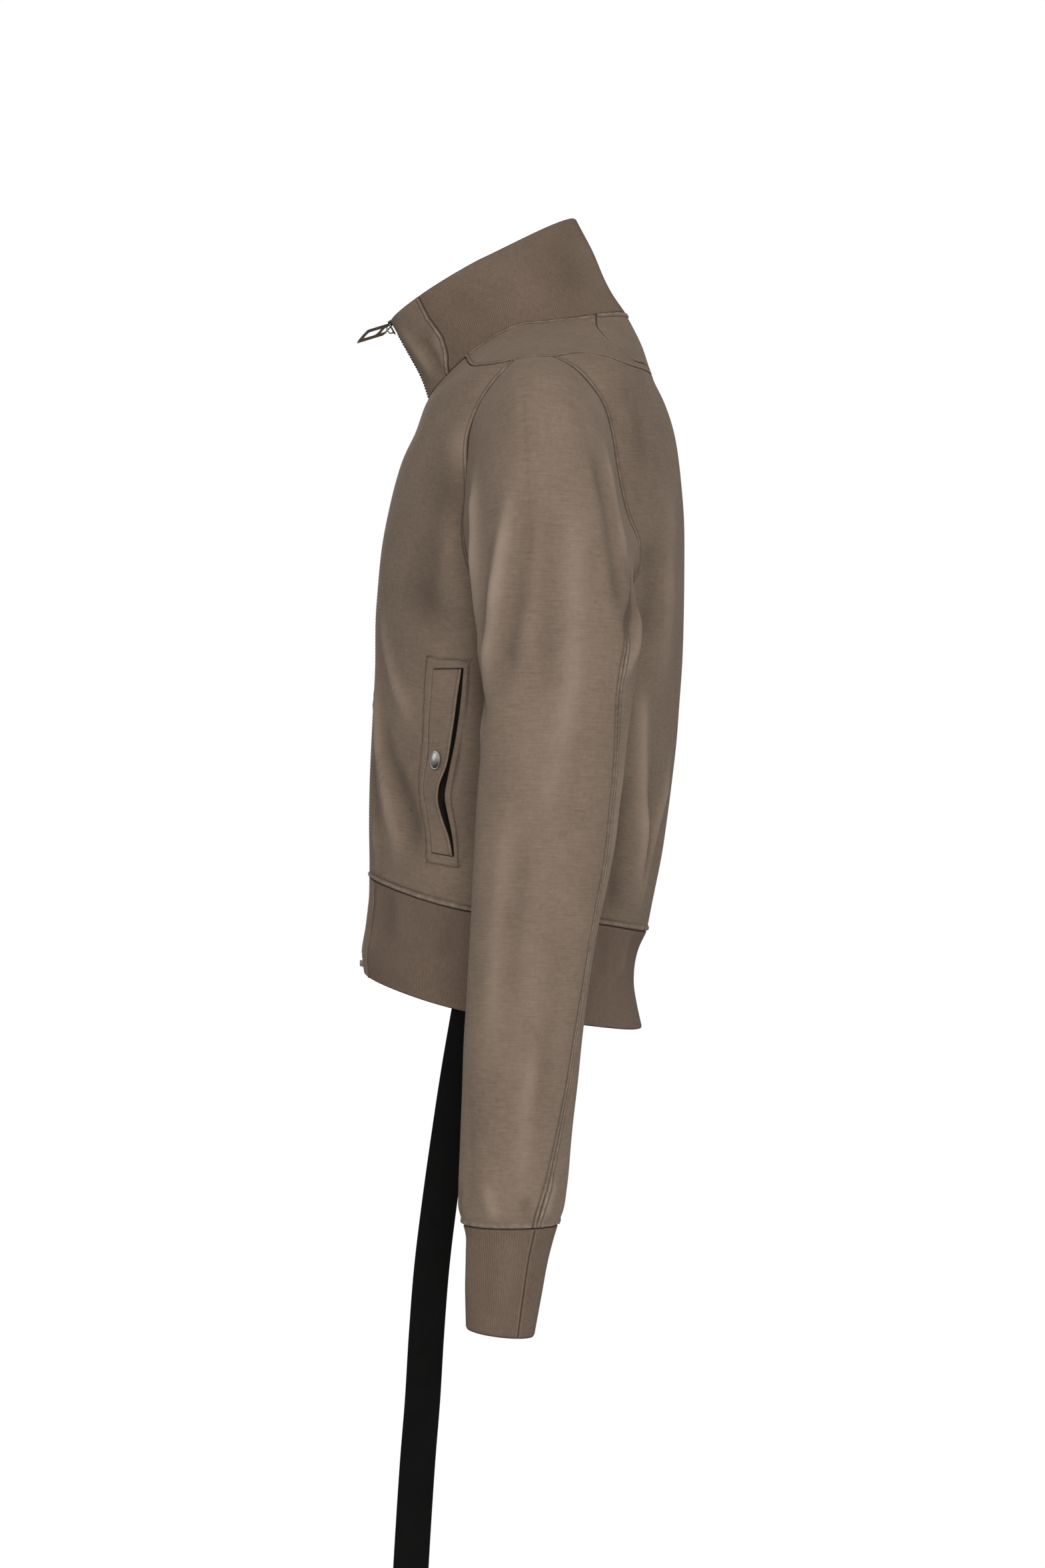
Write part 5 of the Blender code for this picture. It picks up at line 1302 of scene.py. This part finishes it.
long = np.r_[0, np.cumsum(np.linalg.norm(np.diff(centre[9], axis=0), axis=1))]
uv = np.stack(np.broadcast_arrays(s[:, None] * STRAP_HALF * MM, long[None]), -1)
strap = cut("hanging_tape", outer, inner, webbing, uv=uv)
inner = centre[:, -FOLDED:] - (STRAP_THICK + 0.15) * MM * out[:, -FOLDED:]
end_fold = cut("hanging_tape_end", inner, inner - thin * MM * out[:, -FOLDED:], webbing,
               uv=uv[:, -FOLDED:])
declare("strap")

# ---------------------------------------------------------------- topstitching
# Matching polyester thread, two to three millimetres a stitch, in single and double rows beside the
# seams. Each stitch is a small bead of thread lying in the cloth.
STITCH = 2.7                   # mm from stitch to stitch
FELLED, TWIN = 4.6, 3.1        # mm from a felled and from a twin seam to its row


def thread_finish():
    """Dull polyester thread, paler and darker with its twist."""
    f = Finish("matching_thread", Roughness=0.6, Sheen_Weight=0.2)
    twist = f.noise(2600.0, 1.0)
    return f.wear(Base_Color=f.tone(linear(104, 87, 74), linear(150, 130, 113), twist))


thread = thread_finish()


def beside(way, mm, table=TORSO):
    """A line moved mm across the cloth, at right angles to itself, still in degrees and share up."""
    t, u = np.array(way, float).T
    p, n = rings(table, t, u), outward(table, t, u)
    across_t = (rings(table, t + 0.2, u) - rings(table, t - 0.2, u)) / 0.4
    across_u = (rings(table, t, np.minimum(u + 1e-3, 1)) - rings(table, t, np.maximum(u - 1e-3, 0)))
    across_u /= (np.minimum(u + 1e-3, 1) - np.maximum(u - 1e-3, 0))[:, None]
    side = np.cross(n, np.gradient(p, axis=0))
    want = mm * MM * side / np.linalg.norm(side, axis=1, keepdims=True)
    a, b, c = np.sum(across_t**2, 1), np.sum(across_t * across_u, 1), np.sum(across_u**2, 1)
    r1, r2 = np.sum(across_t * want, 1), np.sum(across_u * want, 1)
    return np.stack([t + (c * r1 - b * r2) / (a * c - b * b), u + (a * r2 - b * r1) / (a * c - b * b)], -1)


def stitches(points, normals, pitch=STITCH, length=0.68, radius=0.20):
    """Beads of thread along a line of points: a four-sided bead of three rings for each stitch."""
    run = np.r_[0, np.cumsum(np.linalg.norm(np.diff(points, axis=0), axis=1))] / MM
    at = np.arange(pitch, run[-1] - 0.5 * pitch, pitch)
    p, n, q = (np.stack([np.interp(at + off, run, a[:, k]) for k in range(3)], -1)
               for a, off in ((points, 0), (normals, 0), (points, 0.2)))
    way = (q - p) / np.linalg.norm(q - p, axis=1, keepdims=True)
    n = n - np.sum(n * way, 1, keepdims=True) * way
    n /= np.linalg.norm(n, axis=1, keepdims=True)
    side = np.cross(way, n)
    a = (np.arange(4) * np.pi / 2)[None, :, None]
    section_round = np.cos(a) * side[:, None] + np.sin(a) * n[:, None]
    bead = [(-0.42, 0.5, -0.10), (0.0, 1.0, 0.06), (0.42, 0.5, -0.10)]      # along, radius, height
    verts = [p[:, None] + MM * (s * length * pitch * way[:, None] + h * n[:, None]
                                + radius * w * section_round) for s, w, h in bead]
    ends = [p[:, None] + MM * (s * length * pitch * way[:, None] - 0.16 * n[:, None]) for s in (-0.5, 0.5)]
    return np.concatenate(verts + ends, 1)


def seam_thread(way, seams, folds, strength, table=TORSO):
    """Stitches along a line on the body, lying on the cloth as its seams and creases lift it."""
    line = np.array(way, float)
    points, normals = rings(table, *line.T), outward(table, *line.T)
    rise = creases(points, folds, lambda w: on_body(w, table), strength)
    return stitches(points + weather(points, seams, rise)[0][:, None] * MM * normals, normals)


def dense(way, count=500):
    """The line in straight steps between its points, at count even places."""
    way = np.array(way, float)
    at = np.linspace(0, len(way) - 1, count)
    return np.stack([np.interp(at, np.arange(len(way)), way[:, k]) for k in (0, 1)], -1)


half_hem, half_neck = join(*hem), join(*neck)


def body_thread(front_folds, back_folds, strength):
    """Every row of topstitching on one half of the body."""
    fronts = (front_seams, front_folds, strength)
    backs = (back_seams, back_folds, BACK_STRENGTH)
    yokes = (yoke_seams, BODY_FOLDS, strength)
    facing = ([(facing_seam[0], "pressed")], COLLAR_FOLDS, 1.0, COLLAR)
    rows = [(beside(dense(half_hem[half_hem[:, 0] < 94.5]), FELLED), *fronts),
            (beside(dense(half_hem[half_hem[:, 0] > 95.5]), FELLED), *backs),
            (beside(dense(half_neck[half_neck[:, 0] > 52.6]), -FELLED), *yokes),
            (beside(dense(half_neck[half_neck[:, 0] < 50.6]), -2.2), *fronts),
            (beside(dense(arm_front), TWIN), *fronts),
            (beside(dense(arm_top, 60), TWIN), *yokes),
            (beside(dense(arm_back), TWIN), *backs),
            (beside(dense(yoke_front[12:-10], 200), TWIN), *yokes),
            (beside(dense(yoke_back[12:-30], 300), 2.4), *yokes),
            (dense(pocket_box), *fronts),
            (dense(pocket_rear), *fronts),
            (beside(dense(zip_line[2:-2], 600), -4.6), *fronts),
            (beside(dense(collar_edge[3:-3], 200), 3.6, COLLAR), *facing)]
    return np.concatenate([seam_thread(*row) for row in rows])


def sleeve_thread(line, strength):
    """Stitches along a dense line on the sleeve, on the cloth as it is lifted there. Each point takes the
    normal of the sleeve's nearest grid point."""
    flat = base.reshape(-1, 3)
    nearest = np.concatenate([(np.sum(flat**2, 1) - 2 * part @ flat.T).argmin(1)
                              for part in np.array_split(line, 8)])
    n = base_normals.reshape(-1, 3)[nearest]
    rise = creases(line, SLEEVE_FOLDS, on_sleeve, strength)
    return stitches(line + weather(line, sleeve_seams, rise)[0][:, None] * MM * n, n)


above_cuff = section(SLEEVE, SLEEVE[-1][0] + FELLED, np.linspace(0, 360, 400))
by_seam = on_sleeve([(a - 3.2, h) for a, h in SLEEVE_SEAM], 500)
right_back = [(height * 0.85, half, [(t, u * 1.04) for t, u in way]) for height, half, way in BODY_FOLDS]
bead_faces = tube_faces(3, 4)
quads = np.array([face for face in bead_faces if len(face) == 4])
fans = np.array([face for face in bead_faces if len(face) == 3])
for side, flip, strength, nudge in HALVES:
    back_folds = right_back if flip else BODY_FOLDS
    body_beads = body_thread(shifted(BODY_FOLDS, nudge), back_folds, strength)
    arm_beads = np.concatenate([sleeve_thread(line, SLEEVE_STRENGTH[side])
                                for line in (above_cuff, by_seam)])
    turn_in = -1 if flip else 1
    for label, beads in (("body", body_beads), ("sleeve", arm_beads)):
        step = np.arange(len(beads))[:, None, None] * beads.shape[1]
        faces = ((quads[:, ::turn_in] + step).reshape(-1, 4).tolist()
                 + (fans[:, ::turn_in] + step).reshape(-1, 3).tolist())
        solid_mesh(f"topstitching_{label}_{side}", beads.reshape(-1, 3) * [turn_in, 1, 1], faces, thread,
                   sharp=89)

# ---------------------------------------------------------------- studio
# White surround, a pale floor well below the hem, large soft lights, and the camera straight at the
# wearer's left side.
def flat_finish(name, colour):
    """A matt finish with a very faint broad haze."""
    f = Finish(name, Roughness=0.9)
    haze = f.noise(3.0, 1.0)
    return f.wear(Base_Color=f.tone(linear(*[c - 3 for c in colour]), linear(*colour), haze))


FLOOR_X, FLOOR_Y, FLOOR_Z = 1.1, 1.3, -1.36          # half its width and length, and its height, metres
corners = [(x * FLOOR_X, y * FLOOR_Y, FLOOR_Z) for x, y in ((-1, -1), (1, -1), (1, 1), (-1, 1))]
floor_mesh = bpy.data.meshes.new("studio_floor")
floor_mesh.from_pydata(corners, [], [(0, 1, 2, 3)])
floor_mesh.materials.append(flat_finish("pale_floor", (236, 236, 234)))
floor = bpy.data.objects.new("studio_floor", floor_mesh)
bpy.context.collection.objects.link(floor)

world = bpy.data.worlds.new("white_room")
bpy.context.scene.world = world
world.use_nodes = True
tree = world.node_tree
seen, fill, pale, dark = (tree.nodes.new("ShaderNodeBackground") for _ in range(4))
pick, shine, split = (tree.nodes.new("ShaderNodeMixShader") for _ in range(3))
tree.nodes["Background"].inputs["Strength"].default_value = 0
for node, strength in ((seen, 1.0), (fill, 0.25), (pale, 0.62), (dark, 0.06)):
    node.inputs["Color"].default_value = (1, 1, 1, 1)
    node.inputs["Strength"].default_value = strength
path = tree.nodes.new("ShaderNodeLightPath")
# polished metal sees a pale room above and a dark one below
sky = Flow(tree, tree.nodes.new("ShaderNodeTexCoord").outputs["Generated"])
tall = tree.nodes.new("ShaderNodeSeparateXYZ")
feed(tree, tall.inputs[0], sky)
feed(tree, shine.inputs[0], (Flow(tree, tall.outputs[2]) * 1.6 + 0.5).clamp())
tree.links.new(dark.outputs[0], shine.inputs[1])
tree.links.new(pale.outputs[0], shine.inputs[2])
tree.links.new(path.outputs["Is Glossy Ray"], split.inputs[0])
tree.links.new(fill.outputs[0], split.inputs[1])
tree.links.new(shine.outputs[0], split.inputs[2])
tree.links.new(path.outputs["Is Camera Ray"], pick.inputs[0])
tree.links.new(split.outputs[0], pick.inputs[1])
tree.links.new(seen.outputs[0], pick.inputs[2])
tree.links.new(pick.outputs[0], tree.nodes["World Output"].inputs["Surface"])

# name: place, size in metres, power in watts, where it points
LIGHTS = {"key": ((3.1, 0.22, 0.62), 1.2, 61, (0.1, -0.03, -0.2)),
          "top": ((0.9, -1.7, 2.1), 1.4, 6, (0.0, 0.0, -0.3)),
          "far": ((-3.1, -0.3, 0.3), 1.4, 50, (-0.1, 0, -0.38)),
          "rear": ((-0.9, 2.9, 0.8), 1.6, 9, (0, 0, -0.35)),
          "front": ((-0.9, -2.9, 0.5), 1.6, 4, (0, 0, -0.35))}
for name, (at, size, power, aim) in LIGHTS.items():
    lamp = bpy.data.lights.new(name, "AREA")
    lamp.shape, lamp.size, lamp.energy = "DISK", size, power
    ob = bpy.data.objects.new(name, lamp)
    bpy.context.collection.objects.link(ob)
    z = np.array(at, float) - np.array(aim, float)
    z /= np.linalg.norm(z)
    x = np.cross([0, 0, 1.0], z)
    x /= np.linalg.norm(x)
    y = np.cross(z, x)
    ob.matrix_world = mathutils.Matrix(((x[0], y[0], z[0], at[0]), (x[1], y[1], z[1], at[1]),
                                        (x[2], y[2], z[2], at[2]), (0, 0, 0, 1)))

bpy.context.scene.view_settings.view_transform = "Standard"
bpy.context.scene.view_settings.look = "None"
CAMERA_AWAY, CAMERA_HEIGHT = 3.2, -0.3735          # metres from the centre plane, and up
lens = bpy.data.cameras.new("camera")
lens.lens, lens.sensor_width, lens.sensor_fit = 88.65, 36.0, "AUTO"
camera = bpy.data.objects.new("camera", lens)
camera.location = (CAMERA_AWAY, 0.0, CAMERA_HEIGHT)
camera.rotation_euler = (math.pi / 2, 0.0, math.pi / 2)
bpy.context.collection.objects.link(camera)
bpy.context.scene.camera = camera
